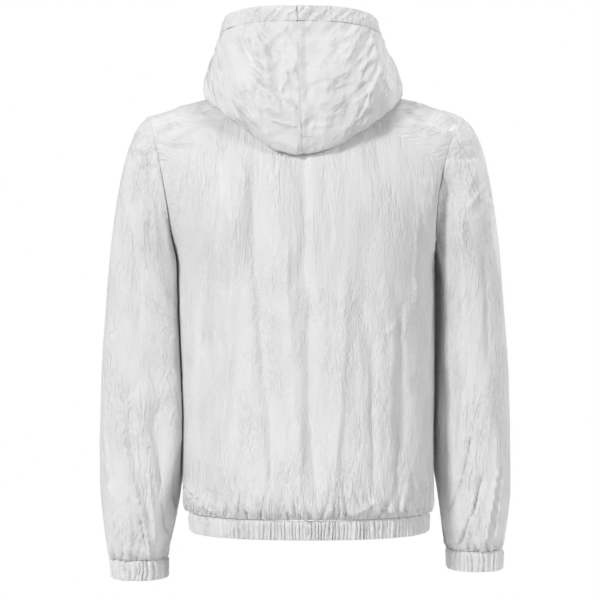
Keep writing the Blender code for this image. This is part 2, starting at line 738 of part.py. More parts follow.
# ---------------------------------------------------------------- zip
def surface_tree(meshes):
    """One search tree over the outer faces of several sheets."""
    points = []
    faces = []
    for mesh in meshes:
        start = len(points)
        points += [vert.co.copy() for vert in mesh.vertices]
        faces += [[start + index for index in face.vertices] for face in mesh.polygons]
    return BVHTree.FromPolygons(points, faces)


def zip_line(hood_rows):
    """Pairs of neighbouring points up the slit's edge: on the edge, and one column further out.

    The zip's strips run through the same rows as the cloth, so that their flat faces lie parallel.
    """
    beside = 1 / (PANEL_COLUMNS // 2)
    pairs = []
    for row in range(SLIT_ROW, ROWS_BELOW + NECK_ROW[FRONT] + 1):
        up = panel_up(row / (ROWS_BELOW + ROWS_ABOVE))
        edge = panel_place(FRONT, OFF_MIDDLE, up)
        edge.x = SLIT_HALF_WIDTH
        pairs.append((edge, panel_place(FRONT, beside, up)))
    pairs += hood_rows
    return pairs


def hood_edge_rows():
    """The same pairs up the hood's front edge, from its fold to the rim."""
    rows = []
    next_turn = 1 - 1 / HOOD_COLUMNS
    for row in range(HOOD_ROWS + 1):
        edge_share = hood_row_share(1.0, row / HOOD_ROWS)
        if edge_share > ZIP_FROM:
            next_share = hood_row_share(next_turn, row / HOOD_ROWS)
            edge = hood_point(LEFT, 1.0, edge_share)
            rows.append((edge, hood_point(LEFT, next_turn, next_share)))
    rows.append((hood_point(LEFT, 1.0, 1.0), hood_point(LEFT, next_turn, 1.0)))
    return rows


def cut_line(pairs, bottom, top):
    """The stretch of a zip line between two heights of its edge."""
    kept = []
    for lower, upper in zip(pairs, pairs[1:]):
        span = upper[0].z - lower[0].z
        for limit in (bottom, top):
            if lower[0].z < limit <= upper[0].z:
                share = (limit - lower[0].z) / span
                kept.append((lower[0].lerp(upper[0], share), lower[1].lerp(upper[1], share)))
        if bottom < upper[0].z < top:
            kept.append(upper)
    return sorted(kept, key=lambda pair: pair[0].z)


def zip_strip(name, pairs, inner, outer, depth, neck_dip=0.0):
    """A strip along the slit, from x = inner to outer, at a depth under the cloth's outer face."""
    last = len(pairs) - 1

    def place(u, v):
        row = round(v * last)
        edge, beside = pairs[row]
        below = (edge - pairs[max(row - 1, 0)][0]).normalized()
        above = (pairs[min(row + 1, last)][0] - edge).normalized()
        along = below + above
        out = Vector((0, -along.z, along.y)).normalized()
        spread = out.dot(Vector((0, -above.z, above.y)).normalized()) if row < last else 1
        x = mix(inner, outer, u)
        share = (abs(x) - edge.x) / (beside.x - edge.x)
        y = mix(edge.y, beside.y, max(share, 0))
        dip = neck_dip * exp(-(((edge.z + NECK_FRONT_DROP) / NECK_DIP_REACH) ** 2))
        return Vector((x, y, edge.z)) - out * (depth + dip) / spread

    return sheet(name, 1, last, place, away_from_axis)


def box_between(name, low, high, finish):
    """A plain block between two corners, from a cube primitive."""
    made = bmesh.new()
    bmesh.ops.create_cube(made, size=1)
    for vert in made.verts:
        share = vert.co + Vector((0.5, 0.5, 0.5))
        vert.co = [mix(low[axis], high[axis], share[axis]) for axis in range(3)]
    mesh = bpy.data.meshes.new(name)
    made.to_mesh(mesh)
    made.free()
    mesh.materials.append(finish)
    return bpy.data.objects.new(name, mesh)


def rod_along_x(name, radius, half_length, at, finish, sides):
    made = bmesh.new()
    turned = Matrix.Translation(at) @ Matrix.Rotation(pi / 2, 4, "Y")
    size = {"radius1": radius, "radius2": radius, "depth": 2 * half_length}
    bmesh.ops.create_cone(made, cap_ends=True, segments=sides, matrix=turned, **size)
    mesh = bpy.data.meshes.new(name)
    made.to_mesh(mesh)
    made.free()
    mesh.materials.append(finish)
    return bpy.data.objects.new(name, mesh)


def join_solids(base, others, cutters, parts, hidden):
    """Unite base with others and cut the cutters out of it."""
    parts.objects.link(base)
    for other, operation in [(o, "UNION") for o in others] + [(c, "DIFFERENCE") for c in cutters]:
        hidden.objects.link(other)
        other.hide_render = True
        other.display_type = "WIRE"
        other.parent = base
        cut = base.modifiers.new(other.name, "BOOLEAN")
        cut.operation = operation
        cut.object = other
    base.data.shade_smooth()
    base.data.set_sharp_from_angle(angle=METAL_EDGE_ANGLE)
    return base


def slider_frame(pairs):
    """Where the slider sits: x across, y into the cloth, z up along the teeth."""
    lower, upper = [pair[0] for pair in cut_line(pairs, ZIP_TOP, ZIP_TOP + SLIDER_TOP)[:2]]
    up = Vector((0, upper.y - lower.y, upper.z - lower.z)).normalized()
    turned = Matrix((Vector((1, 0, 0)), Vector((0, up.z, -up.y)), up)).transposed().to_4x4()
    return Matrix.Translation((0, lower.y, lower.z)) @ turned


def build_slider(frame, metal, parts, hidden):
    face = -SLIDER_FACE
    plate_out = face - SLIDER_PLATE
    base = box_between(
        "zip_slider",
        (-SLIDER_HALF_WIDTH, plate_out, SLIDER_BOTTOM), (SLIDER_HALF_WIDTH, face, SLIDER_TOP), metal,
    )
    back_plate = box_between(
        "slider_back_plate",
        (-SLIDER_HALF_WIDTH, -SLIDER_BACK, SLIDER_BOTTOM),
        (SLIDER_HALF_WIDTH, -SLIDER_BACK + SLIDER_PLATE, SLIDER_TOP), metal,
    )
    middle = -SLIDER_BACK + SLIDER_PLATE / 2
    wedge = box_between(
        "slider_wedge",
        (-WEDGE_HALF_WIDTH, face - SLIDER_PLATE / 2, WEDGE_BOTTOM),
        (WEDGE_HALF_WIDTH, middle, WEDGE_TOP), metal,
    )
    ears = []
    for side in (LEFT, RIGHT):
        low_x, high_x = sorted((side * EAR_INNER, side * EAR_OUTER))
        ears.append(box_between(
            "slider_ear_" + SIDE_NAMES[side],
            (low_x, -PIN_OUT - EAR_PAST_PIN, PIN_HEIGHT - EAR_HALF_HEIGHT),
            (high_x, plate_out + SUNK, PIN_HEIGHT + EAR_HALF_HEIGHT), metal,
        ))
    pin_at = (0, -PIN_OUT, PIN_HEIGHT)
    pin = rod_along_x("slider_pin", PIN_RADIUS, EAR_INNER + SUNK, pin_at, metal, PIN_SIDES)
    slider = join_solids(base, [back_plate, wedge] + ears + [pin], [], parts, hidden)
    slider.matrix_world = frame
    return slider


def build_pull(frame, metal, parts, hidden):
    """The tab's own origin is the middle of the pin, so its joint is its own X axis."""
    base = box_between(
        "zip_pull",
        (-TAB_HALF_WIDTH, -TAB_HALF_WALL, -TAB_LENGTH),
        (TAB_HALF_WIDTH, TAB_HALF_WALL, -TAB_SHOULDER), metal,
    )
    neck = box_between(
        "pull_neck",
        (-EYE_HALF_WIDTH, -TAB_HALF_WALL, -TAB_SHOULDER - SUNK), (EYE_HALF_WIDTH, TAB_HALF_WALL, 0), metal,
    )
    middle = (0, 0, 0)
    eye = rod_along_x("pull_eye", EYE_RADIUS, EYE_HALF_WIDTH, middle, metal, ROUND_SIDES)
    bore = rod_along_x("pull_bore", EYE_BORE, EYE_HALF_WIDTH * 2, middle, metal, ROUND_SIDES)
    grip = rod_along_x("pull_grip_hole", GRIP_RADIUS, TAB_HALF_WALL * 2, middle, metal, ROUND_SIDES)
    grip_at = Matrix.Translation((0, 0, GRIP_FROM_END - TAB_LENGTH))
    grip.data.transform(grip_at @ Matrix.Rotation(pi / 2, 4, "Z"))
    pull = join_solids(base, [neck, eye], [bore, grip], parts, hidden)
    hung = Matrix.Translation((0, -PIN_OUT, PIN_HEIGHT)) @ Matrix.Rotation(TAB_REST, 4, "X")
    pull.matrix_world = frame @ hung
    return pull


def build_zip(cloth, metal, parts, hidden):
    pairs = zip_line(hood_edge_rows())
    bottom = pairs[0][0].z + STOP_HEIGHT / 2
    teeth_bottom = bottom + STOP_HEIGHT + SEAM
    tape_line = cut_line(pairs, bottom, ZIP_TOP + SLIDER_TOP)
    for side in (LEFT, RIGHT):
        edges = (side * TAPE_INNER, side * TAPE_OUTER)
        tape = zip_strip("zip_tape_" + SIDE_NAMES[side], tape_line, *edges, TAPE_DEPTH, NECK_DIP)
        cloth_object(tape, TAPE_WALL, cloth, parts)
    chain_line = cut_line(pairs, teeth_bottom, ZIP_TOP)
    chain = zip_strip("zip_chain", chain_line, -CHAIN_HALF_WIDTH, CHAIN_HALF_WIDTH, -CHAIN_PROUD)
    cloth_object(chain, CHAIN_WALL, metal, parts)
    face = tape_line[0][0].y - STOP_PROUD
    stop = box_between(
        "zip_stop",
        (-CHAIN_HALF_WIDTH, face, bottom),
        (CHAIN_HALF_WIDTH, face + CHAIN_WALL, bottom + STOP_HEIGHT), metal,
    )
    parts.objects.link(stop)
    frame = slider_frame(pairs)
    build_slider(frame, metal, parts, hidden)
    build_pull(frame, metal, parts, hidden)


# ---------------------------------------------------------------- assembly
def build_anorak():
    clear_scene()
    parts = collection("anorak")
    hidden = collection("cutters")
    nylon = material("nylon", NYLON_COLOUR, 0.5)
    elastic_nylon = material("gathered_nylon", GATHERED_COLOUR, 0.55)
    tape = material("zip_tape", TAPE_COLOUR, 0.8)
    metal = material("zip_metal", METAL_COLOUR, 0.35, 1.0)
    back = back_sheet()
    front = front_sheet()
    body = surface_tree([back, front])
    hoods = {side: hood_sheet(side, body) for side in (LEFT, RIGHT)}
    casings = {side: casing_sheet(side) for side in (LEFT, RIGHT)}
    build_zip(tape, metal, parts, hidden)
    cloth_object(back, WALL, nylon, parts, trim_back)
    cloth_object(front, WALL, nylon, parts, trim_front)
    cloth_object(band_sheet(), BAND_WALL, elastic_nylon, parts)
    for side in (LEFT, RIGHT):
        cloth_object(sleeve_sheet(side), WALL, nylon, parts, trim_sleeve)
        cloth_object(cuff_sheet(side), BAND_WALL, elastic_nylon, parts)
        cloth_object(hoods[side], WALL, nylon, parts, trim_hood)
        cloth_object(casings[side], CASING_WALL, elastic_nylon, parts, trim_hood)


build_anorak()
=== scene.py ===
# %% [markdown]
# # A hooded anorak of thin crinkled nylon
# The garment stands filled out as if somebody wore it, and its hood lies back. It is sewn from a
# back, a front, two sleeves, two hood halves, a gathered tunnel round the hood, a gathered band
# at the hem and two gathered cuffs. A half zip closes the front. The packed model gives every
# place and size, so it is loaded first and nothing in it is moved.

# %% Load the frame
import json
from math import ceil, cos, floor, pi, radians, sin

import bpy
import numpy as np
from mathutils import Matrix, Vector
from mathutils.bvhtree import BVHTree
from mathutils.geometry import delaunay_2d_cdt

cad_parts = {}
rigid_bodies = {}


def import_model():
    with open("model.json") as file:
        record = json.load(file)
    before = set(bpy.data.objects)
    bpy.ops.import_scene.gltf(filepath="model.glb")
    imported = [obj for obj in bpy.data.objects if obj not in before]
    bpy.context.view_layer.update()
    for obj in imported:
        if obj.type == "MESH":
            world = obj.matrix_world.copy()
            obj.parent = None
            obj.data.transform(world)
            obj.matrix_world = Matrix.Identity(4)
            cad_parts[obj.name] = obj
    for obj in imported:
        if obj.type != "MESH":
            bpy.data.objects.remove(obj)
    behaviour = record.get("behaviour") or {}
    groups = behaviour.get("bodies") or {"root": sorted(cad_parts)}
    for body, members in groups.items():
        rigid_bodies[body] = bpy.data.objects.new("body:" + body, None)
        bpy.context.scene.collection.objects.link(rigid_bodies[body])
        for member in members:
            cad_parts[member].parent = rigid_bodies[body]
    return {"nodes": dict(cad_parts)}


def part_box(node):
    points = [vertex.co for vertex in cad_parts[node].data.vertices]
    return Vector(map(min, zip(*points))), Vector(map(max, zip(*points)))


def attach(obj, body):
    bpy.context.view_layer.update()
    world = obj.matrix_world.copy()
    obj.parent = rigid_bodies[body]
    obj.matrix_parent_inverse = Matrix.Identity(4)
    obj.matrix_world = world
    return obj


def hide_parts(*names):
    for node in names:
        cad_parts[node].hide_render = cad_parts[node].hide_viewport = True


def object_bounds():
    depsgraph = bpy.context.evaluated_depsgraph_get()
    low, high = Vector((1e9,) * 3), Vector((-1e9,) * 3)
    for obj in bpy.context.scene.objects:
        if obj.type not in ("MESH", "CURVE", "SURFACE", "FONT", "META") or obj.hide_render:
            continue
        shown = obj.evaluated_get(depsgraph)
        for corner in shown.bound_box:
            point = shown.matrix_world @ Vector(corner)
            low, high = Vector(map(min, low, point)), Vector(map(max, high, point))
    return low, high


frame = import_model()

cad_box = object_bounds()

# %% [markdown]
# ## Camera
# A long lens, level with the middle of the back and square to it, keeps both sleeves the same
# size and the hem nearly straight. It aims at the middle of the packed box, a little to one side.

# %% Camera
VIEW_DISTANCE = 2.5
OFF_CENTRE = Vector((0.0077, 0, -0.004))
low_corner, high_corner = cad_box
aim = (low_corner + high_corner) / 2 + OFF_CENTRE
lens = bpy.data.cameras.new("view from behind")
lens.lens = 100
lens.sensor_width = 36
camera = bpy.data.objects.new("view from behind", lens)
bpy.context.scene.collection.objects.link(camera)
camera.location = (aim.x, VIEW_DISTANCE, aim.z)
camera.rotation_euler = (pi / 2, 0, pi)
bpy.context.scene.camera = camera
print("camera at", tuple(round(value, 4) for value in camera.location))

# %% [markdown]
# ## Short tables read as smooth curves
# A maker notes a garment's width and depth at a few heights, and the cloth runs smoothly through
# them. The helpers here read such a table for thousands of points at once, so they work on whole
# arrays.

# %% Number helpers
def smooth_step(value):
    value = np.clip(value, 0.0, 1.0)
    return value * value * (3 - 2 * value)


def mix(first, last, share):
    return first + (last - first) * share


def hump(at, width):
    """1 in the middle and fading to both sides, to a third at this width."""
    return np.exp(-((at / width) ** 2))


RATIOS = ("bow", "crisp", "lean")


def table(names, *rows):
    """Rows of numbers as named columns. Lengths are in millimetres; RATIOS have no unit."""
    columns = dict(zip(names.split(), np.array(rows, float).T))
    return {name: column / (1 if name in RATIOS else 1000) for name, column in columns.items()}


def read_curve(keys, values, at):
    """A smooth curve through a short table, level past its ends."""
    slopes = np.gradient(values) / np.gradient(keys)
    at = np.clip(at, keys[0], keys[-1])
    index = np.clip(np.searchsorted(keys, at, side="right") - 1, 0, len(keys) - 2)
    span = keys[index + 1] - keys[index]
    t = (at - keys[index]) / span
    level = values[index] * (1 + 2 * t) * (1 - t) ** 2 + values[index + 1] * t * t * (3 - 2 * t)
    return level + span * (slopes[index] * t * (1 - t) ** 2 + slopes[index + 1] * t * t * (t - 1))


def read_table(columns, keys, at):
    return {name: read_curve(keys, values, at) for name, values in columns.items()}


def places(x, y, z):
    return np.stack(np.broadcast_arrays(x, y, z), axis=-1).astype(float)


def unit(vectors):
    return vectors / np.linalg.norm(vectors, axis=-1, keepdims=True)


def run_along(grid, axis):
    """How far each point of a grid lies along its row (axis 1) or its column (axis 0)."""
    steps = np.linalg.norm(np.diff(grid, axis=axis), axis=-1)
    return np.cumsum(np.insert(steps, 0, 0.0, axis=axis), axis=axis)


def oval(angle, half_width, half_depth, power=2.3):
    """A point of a squarish oval, seen from its centre at this angle."""
    across = np.abs(np.cos(angle)) / half_width
    deep = np.abs(np.sin(angle)) / half_depth
    reach = (across ** power + deep ** power) ** (-1 / power)
    return reach * np.cos(angle), reach * np.sin(angle)


print("a hump at half its width:", round(float(hump(0.5, 1.0)), 3))

# %% [markdown]
# ## The body's form
# Below the arms the body is a tube, given by half its width and its two depths at eight heights.
# Above the arms each panel is drawn as rows that run from the centre line, or from the neck, out
# to the armhole, and every row is one curve with a set slope at each end. These are the model's
# own formulas, so the cloth made here lies where the model's solids lie.

# %% Sizes of the body
LEFT, RIGHT = 1, -1
BACK, FRONT = 1, -1
SIDE_NAMES = {LEFT: "left", RIGHT: "right"}


def both(make):
    """The same thing for the left side and for the right one."""
    return {side: make(side) for side in (LEFT, RIGHT)}


SEAM = 0.0003             # gap between two sewn pieces
HEM_TOP, HEM_BOTTOM, UNDERARM = -0.6370, -0.6640, -0.2500
TORSO = table(
    "height half_width back_depth front_depth sideways",
    (-637, 177.5, 117, 108, -6),
    (-627, 183, 127, 115, -6),
    (-610, 186.5, 131, 118, -6),
    (-570, 187.5, 132, 120, -5.5),
    (-500, 188, 131, 120, -4.5),
    (-420, 190, 130, 121, -2.5),
    (-330, 192.5, 130, 121, 0),
    (-250, 194, 130, 120, 0),
)
CENTRE = table(
    "height back_depth front_depth",
    (-300, 130, 120),
    (-240, 131, 119.5),
    (-190, 130, 117),
    (-140, 125, 111),
    (-100, 116, 99),
    (-78, 108, 88),
    (-45, 88, 80),
    (-10, 58, 70),
)
DEPTH_NAMES = {BACK: "back_depth", FRONT: "front_depth"}
NECK_HALF_WIDTH = 0.0820
NECK_DEPTHS = {BACK: 0.0580, FRONT: 0.0880}
NECK_DROPS = {BACK: 0.0100, FRONT: 0.0780}
NECK_DROP_POWERS = {BACK: 2.0, FRONT: 1.3}
NECK_UP = {BACK: 7 / 12, FRONT: 6 / 12}    # how far up the yoke the neck's opening starts
SHOULDER_HALF_WIDTH, SHOULDER_DROP = 0.2310, 0.0460
UNDERARM_HALF_WIDTH, ARMHOLE_HALF_DEPTH = 0.1940, 0.0840
ARMHOLE_BOW = {LEFT: 0.0060, RIGHT: 0.0150}
ARMHOLE_MIDDLE_Z = (UNDERARM - SHOULDER_DROP) / 2
ARMHOLE_HALF_HEIGHT = -(UNDERARM + SHOULDER_DROP) / 2
SIDE_DIP, SIDE_DIP_POWER = 0.0450, 5
print("the body is", UNDERARM - HEM_TOP, "m from band to underarm")

# %% Tube, armhole and neck
def torso_place(height, angle):
    """The outer face of the body cloth below the underarm. Angle 0 is the wearer's left side."""
    read = read_table(TORSO, TORSO["height"], height)
    depth = np.where(np.sin(angle) >= 0, read["back_depth"], read["front_depth"])
    x, y = oval(angle, read["half_width"], depth)
    return places(x + read["sideways"], y, height)


def body_angle(side, facing, share):
    angle = facing * pi / 2 * (1 - share)
    return angle if side == LEFT else pi - angle


def armhole_reach(side, rise):
    middle = (SHOULDER_HALF_WIDTH + UNDERARM_HALF_WIDTH) / 2
    lean = (SHOULDER_HALF_WIDTH - UNDERARM_HALF_WIDTH) / 2
    return middle + lean * rise - ARMHOLE_BOW[side] * (1 - rise * rise)


def armhole_place(side, facing, share):
    depth, height = oval(pi * (share - 0.5), ARMHOLE_HALF_DEPTH, ARMHOLE_HALF_HEIGHT)
    rise = height / ARMHOLE_HALF_HEIGHT
    z = ARMHOLE_MIDDLE_Z + ARMHOLE_HALF_HEIGHT * rise
    return places(armhole_reach(side, rise), facing * depth, z)


def neck_place(facing, angle):
    """The neck seam, by the angle from the shoulder (0) to the middle of the back or front."""
    deep = np.sin(angle)
    drop = NECK_DROPS[facing] * deep ** NECK_DROP_POWERS[facing]
    return places(NECK_HALF_WIDTH * np.cos(angle), facing * NECK_DEPTHS[facing] * deep, -drop)


print("half way round the armhole:", armhole_place(LEFT, BACK, 0.5).round(4).tolist())

# %% Yoke
FULLNESS = 1.75           # how far a low row of the yoke bulges, against a straight one
FULL_UP, BULGE_UP = 0.6, 0.4      # shares of the yoke's height where that has died out


def panel_middle(facing, up):
    """A panel's inner edge: up the centre line, then round the neck."""
    neck_up = NECK_UP[facing]
    height = mix(UNDERARM - SIDE_DIP, -NECK_DROPS[facing], np.minimum(up / neck_up, 1))
    depth = read_curve(CENTRE["height"], CENTRE[DEPTH_NAMES[facing]], height)
    centre = places(0 * height, facing * depth, height)
    round_neck = neck_place(facing, pi / 2 * np.clip((1 - up) / (1 - neck_up), 0, 1))
    return np.where((up <= neck_up)[..., None], centre, round_neck)


def row_sink(share):
    return SIDE_DIP * (1 - share ** SIDE_DIP_POWER)


def shoulder_row(side, facing, share, up):
    inner = panel_middle(facing, up)
    outer = armhole_place(side, facing, up)
    run = outer - inner
    turn = pi / 2 * (1 - up) ** 2
    fullness = mix(FULLNESS, 1.0, smooth_step(up / FULL_UP))
    reach = mix(FULLNESS * np.abs(run[..., 1]), run[..., 0], smooth_step(up / BULGE_UP))
    inner_slope = places(fullness * run[..., 0], 0, 0)
    outer_slope = places(reach * np.cos(turn), -facing * reach * np.sin(turn), run[..., 2])
    past_neck = smooth_step((up - NECK_UP[facing]) / (1 - NECK_UP[facing]))[..., None]
    inner_slope = mix(inner_slope, run, past_neck)
    outer_slope = mix(outer_slope, run, past_neck)
    share = share[..., None]
    rest = 1 - share
    point = inner * (1 + 2 * share) * rest ** 2 + inner_slope * share * rest ** 2
    point = point + outer * share ** 2 * (3 - 2 * share) + outer_slope * share ** 2 * (share - 1)
    return point * (side, 1, 1)


def panel_place(side, facing, share, up):
    """One half of the back or front: share 0 middle to 1 side, up 0 hem, 1 underarm, 2 shoulder."""
    angle = body_angle(side, facing, share)
    sink = row_sink(share)
    below = torso_place(mix(HEM_TOP, UNDERARM, up) - sink * up ** 3, angle)
    yoke = np.clip(up - 1, 0, 1)
    joined = torso_place(UNDERARM - sink, angle)
    missed = joined - shoulder_row(side, facing, share, 0 * up)
    above = shoulder_row(side, facing, share, yoke) + missed * ((1 - yoke) ** 3)[..., None]
    return np.where((up <= 1)[..., None], below, above)


check = panel_place(LEFT, BACK, np.array([0.0, 1.0]), np.array([1.0, 1.0]))
print("underarm row, middle and side:", check.round(4).tolist())

# %% [markdown]
# ## Sleeves, cuffs and hem band
# A sleeve is a stack of ovals. Each oval's outer and inner edge is listed, so the first one lies
# along the armhole and the last one is the gathered wrist. A cuff carries on from the last oval,
# and the hem band carries on from the body's lowest one.

# %% Sleeve, cuff and band formulas
SLEEVE = table(
    "outer_x outer_z inner_left_x inner_right_x inner_z half_depth forward bow",
    (231, -46, 194, 194, -250, 84, 0, 1),
    (248, -62, 197, 198, -264, 85.5, 0, 0.7),
    (262, -90, 198.5, 201, -279, 86, 0, 0.4),
    (273, -130, 198, 203, -296, 85, -1, 0.2),
    (282, -180, 197, 204, -318, 83, -2, 0),
    (290, -240, 195.5, 204, -344, 81, -4, 0),
    (296, -305, 193.5, 203, -374, 79, -6, 0),
    (301, -370, 192, 201, -412, 77, -8, 0),
    (305, -435, 190, 199, -458, 75, -10, 0),
    (307, -500, 187, 197, -510, 73, -12, 0),
    (307.5, -560, 184, 197, -564, 70, -15, 0),
    (306, -615, 189, 199, -616, 67, -18, 0),
    (302, -660, 197, 204, -660, 62, -20, 0),
    (297, -690, 204.5, 208, -690, 54, -22, 0),
    (292.5, -706, 208, 211, -706, 45, -23, 0),
)
SLEEVE_SWING = {LEFT: 0.0, RIGHT: 0.0050}
SLEEVE_STRETCH = {LEFT: 1.006, RIGHT: 0.977}
SLEEVE_INNER = {LEFT: "inner_left_x", RIGHT: "inner_right_x"}
CUFF_HEIGHT, CUFF_TAPER, BAND_TAPER = 0.0290, 0.97, 0.994


def sleeve_place(side, angle, along):
    """A sleeve's outer face. Angle 0 is its back, 90 degrees its outer edge, -90 its inner edge."""
    keys = np.arange(len(SLEEVE["bow"]), dtype=float)
    read = read_table(SLEEVE, keys, along * keys[-1])
    inner_x = read[SLEEVE_INNER[side]]
    span = np.hypot(read["outer_x"] - inner_x, read["outer_z"] - read["inner_z"]) / 2
    depth, height = oval(angle, read["half_depth"], span)
    rise = height / span
    x = mix(inner_x, read["outer_x"], (1 + rise) / 2)
    x = x - ARMHOLE_BOW[side] * read["bow"] * (1 - rise * rise) + SLEEVE_SWING[side] * along ** 4
    z = mix(read["inner_z"], read["outer_z"], (1 + rise) / 2)
    z = np.where(z < UNDERARM, UNDERARM + (z - UNDERARM) * SLEEVE_STRETCH[side], z)
    return places(side * (x + SEAM / 2 * (1 - along)), depth + read["forward"], z)


def cuff_place(side, angle, down):
    """The cuff's outer face, down running from its seam (0) to its lower edge (1)."""
    quarters = sleeve_place(side, np.arange(4) * pi / 2, np.ones(4))
    middle = quarters.mean(axis=0)
    rim = sleeve_place(side, angle, 1.0 + 0 * angle)
    point = middle + (rim - middle) * mix(1.0, CUFF_TAPER, down)[..., None]
    point[..., 2] = middle[2] - SEAM - CUFF_HEIGHT * down
    return point


def band_place(angle, down):
    point = torso_place(HEM_TOP + 0 * angle, angle)
    point = point * places(mix(1.0, BAND_TAPER, down), mix(1.0, BAND_TAPER, down), 1.0)
    point[..., 2] = mix(HEM_TOP - SEAM, HEM_BOTTOM, down)
    return point


sleeve_end = sleeve_place(LEFT, np.array([pi / 2]), np.array([1.0]))[0]
print("outer edge of the left wrist:", sleeve_end.round(4).tolist())

# %% [markdown]
# ## The hood laid back
# Seen in section the hood rises from the neck, rolls out over the shoulders as an under layer,
# turns at a fold, bulges, and comes up to its rim. Five lines round the neck say where those
# places are, each from the middle of the back to the middle of the front, and the cloth runs
# smoothly through all five.

# %% Hood formulas
HOOD_SIDE_TURN = 8 / 14
HOOD_TURNS = np.array((0.00, 0.16, 0.31, 0.45, HOOD_SIDE_TURN, 0.73, 0.88, 1.00))
HOOD_LINES = {
    "under": table(
        "x y z",
        (0, 100, -60), (45, 96, -50), (88, 68, -28), (104, 34, -12),
        (110, 3, -4), (98, -40, -22), (54, -83, -60), (3, -91, -74),
    ),
    "fold": table(
        "x y z",
        (0, 126, -112), (50, 125, -100), (104, 104, -63), (134, 62, -36),
        (144, 4, -14), (116, -48, -28), (60, -86, -58), (3, -92, -70),
    ),
    "bulge": table(
        "x y z",
        (0, 138, -30), (62, 134, -26), (116, 108, -12), (138, 60, 6),
        (139, 0, 20), (118, -46, 0), (64, -84, -26), (3, -93.5, -45),
    ),
    "rim": table(
        "x y z",
        (0, 98, 104), (60, 92, 103), (105, 72, 95), (114, 38, 80),
        (112, 0, 62), (92, -38, 40), (50, -72, 10), (3, -88.5, -12),
    ),
}
HOOD_STEPS = np.array((0.0, 0.20, 0.42, 0.70, 1.0))
CASING_HEIGHT, CASING_SEAM = 0.0240, 0.0005
HOOD_LEAN, LEAN_POWER = 0.0120, 1.5
NECK_RISE, HOOD_CLEARANCE = 0.0009, 0.0040
SLIT_HALF_WIDTH = 0.0035


def hood_profile(turn):
    back = neck_place(BACK, pi / 2 * np.clip(1 - turn / HOOD_SIDE_TURN, 0, 1))
    past_side = (turn - HOOD_SIDE_TURN) / (1 - HOOD_SIDE_TURN)
    front = neck_place(FRONT, pi / 2 * np.clip(past_side, 0, 1))
    neck = np.where((turn <= HOOD_SIDE_TURN)[..., None], back, front) + (0, 0, NECK_RISE)
    lines = [
        places(*(read_curve(HOOD_TURNS, line[axis], turn) for axis in "xyz"))
        for line in HOOD_LINES.values()
    ]
    return [neck] + lines


def share_below_rim(turn, distance):
    """The share of the profile that lies this far below the rim."""
    bulge, rim = hood_profile(turn)[-2:]
    return 1 - (HOOD_STEPS[-1] - HOOD_STEPS[-2]) * distance / np.linalg.norm(rim - bulge, axis=-1)


def hood_lean(turn, share):
    return HOOD_LEAN * share ** LEAN_POWER * (1 - turn)


def hood_place(side, turn, share):
    point = 0
    for step, place in enumerate(hood_profile(turn)):
        weight = read_curve(HOOD_STEPS, np.eye(len(HOOD_STEPS))[step], share)
        point = point + weight[..., None] * place
    edge = mix(SEAM / 2, SLIT_HALF_WIDTH, turn)
    x = np.where(turn == 0, edge, np.maximum(point[..., 0], edge))
    return places(side * x + hood_lean(turn, share), point[..., 1], point[..., 2])


hood_top = hood_place(LEFT, np.array([0.0]), np.array([1.0]))[0]
print("top of the hood:", hood_top.round(4).tolist())

# %% [markdown]
# ## Folds, crumples and pleats as numbers
# Thin nylon folds in three ways. A few large folds hang where the body pulls the cloth, and those
# are listed one by one. Between them the cloth is crushed into small flat facets that meet in crisp
# lines, as a crumpled sheet of paper does: scattered points get random heights and flat triangles
# join them. Where an elastic gathers the cloth it stands in narrow pleats of uneven width.

# %% Gentle noise
NOISE_CELLS = 256


def soft_noise(spots, seed):
    """Seeded smooth noise in three dimensions, about -1 to 1."""
    rng = np.random.default_rng(seed)
    slopes = unit(rng.normal(size=(NOISE_CELLS, 3)))
    order = rng.permutation(NOISE_CELLS)
    cell = np.floor(spots).astype(int)
    inside = spots - cell
    fade = inside ** 3 * (inside * (inside * 6 - 15) + 10)
    total = 0.0
    for corner in np.ndindex(2, 2, 2):
        x, y, z = np.moveaxis(cell + corner, -1, 0) % NOISE_CELLS
        pick = order[(order[(order[x] + y) % NOISE_CELLS] + z) % NOISE_CELLS]
        slope = ((inside - corner) * slopes[pick]).sum(axis=-1)
        total = total + slope * np.prod(np.where(corner, fade, 1 - fade), axis=-1)
    return total * 1.6


def tube_noise(angle, radius, along, width, length, seed):
    """Noise that meets itself round a tube, in patches of this width and length, in metres."""
    round_tube = radius / width
    spots = places(round_tube * np.cos(angle), round_tube * np.sin(angle), along / length)
    return soft_noise(spots, seed)


def layered_noise(layers, angle, radius, along, seed):
    """Noise of several sizes on a tube: each layer has a width, a length and a height."""
    return sum(
        height * tube_noise(angle, radius, along, width, length, seed + number)
        for number, (width, length, height) in enumerate(layers)
    )


print("noise in one cell:", soft_noise(np.array([[0.5, 0.5, 0.5]]), 1).round(3))

# %% Crumpled facets
FACET_SHIFT = 0.42        # how far a corner strays from its cell's middle, in cells


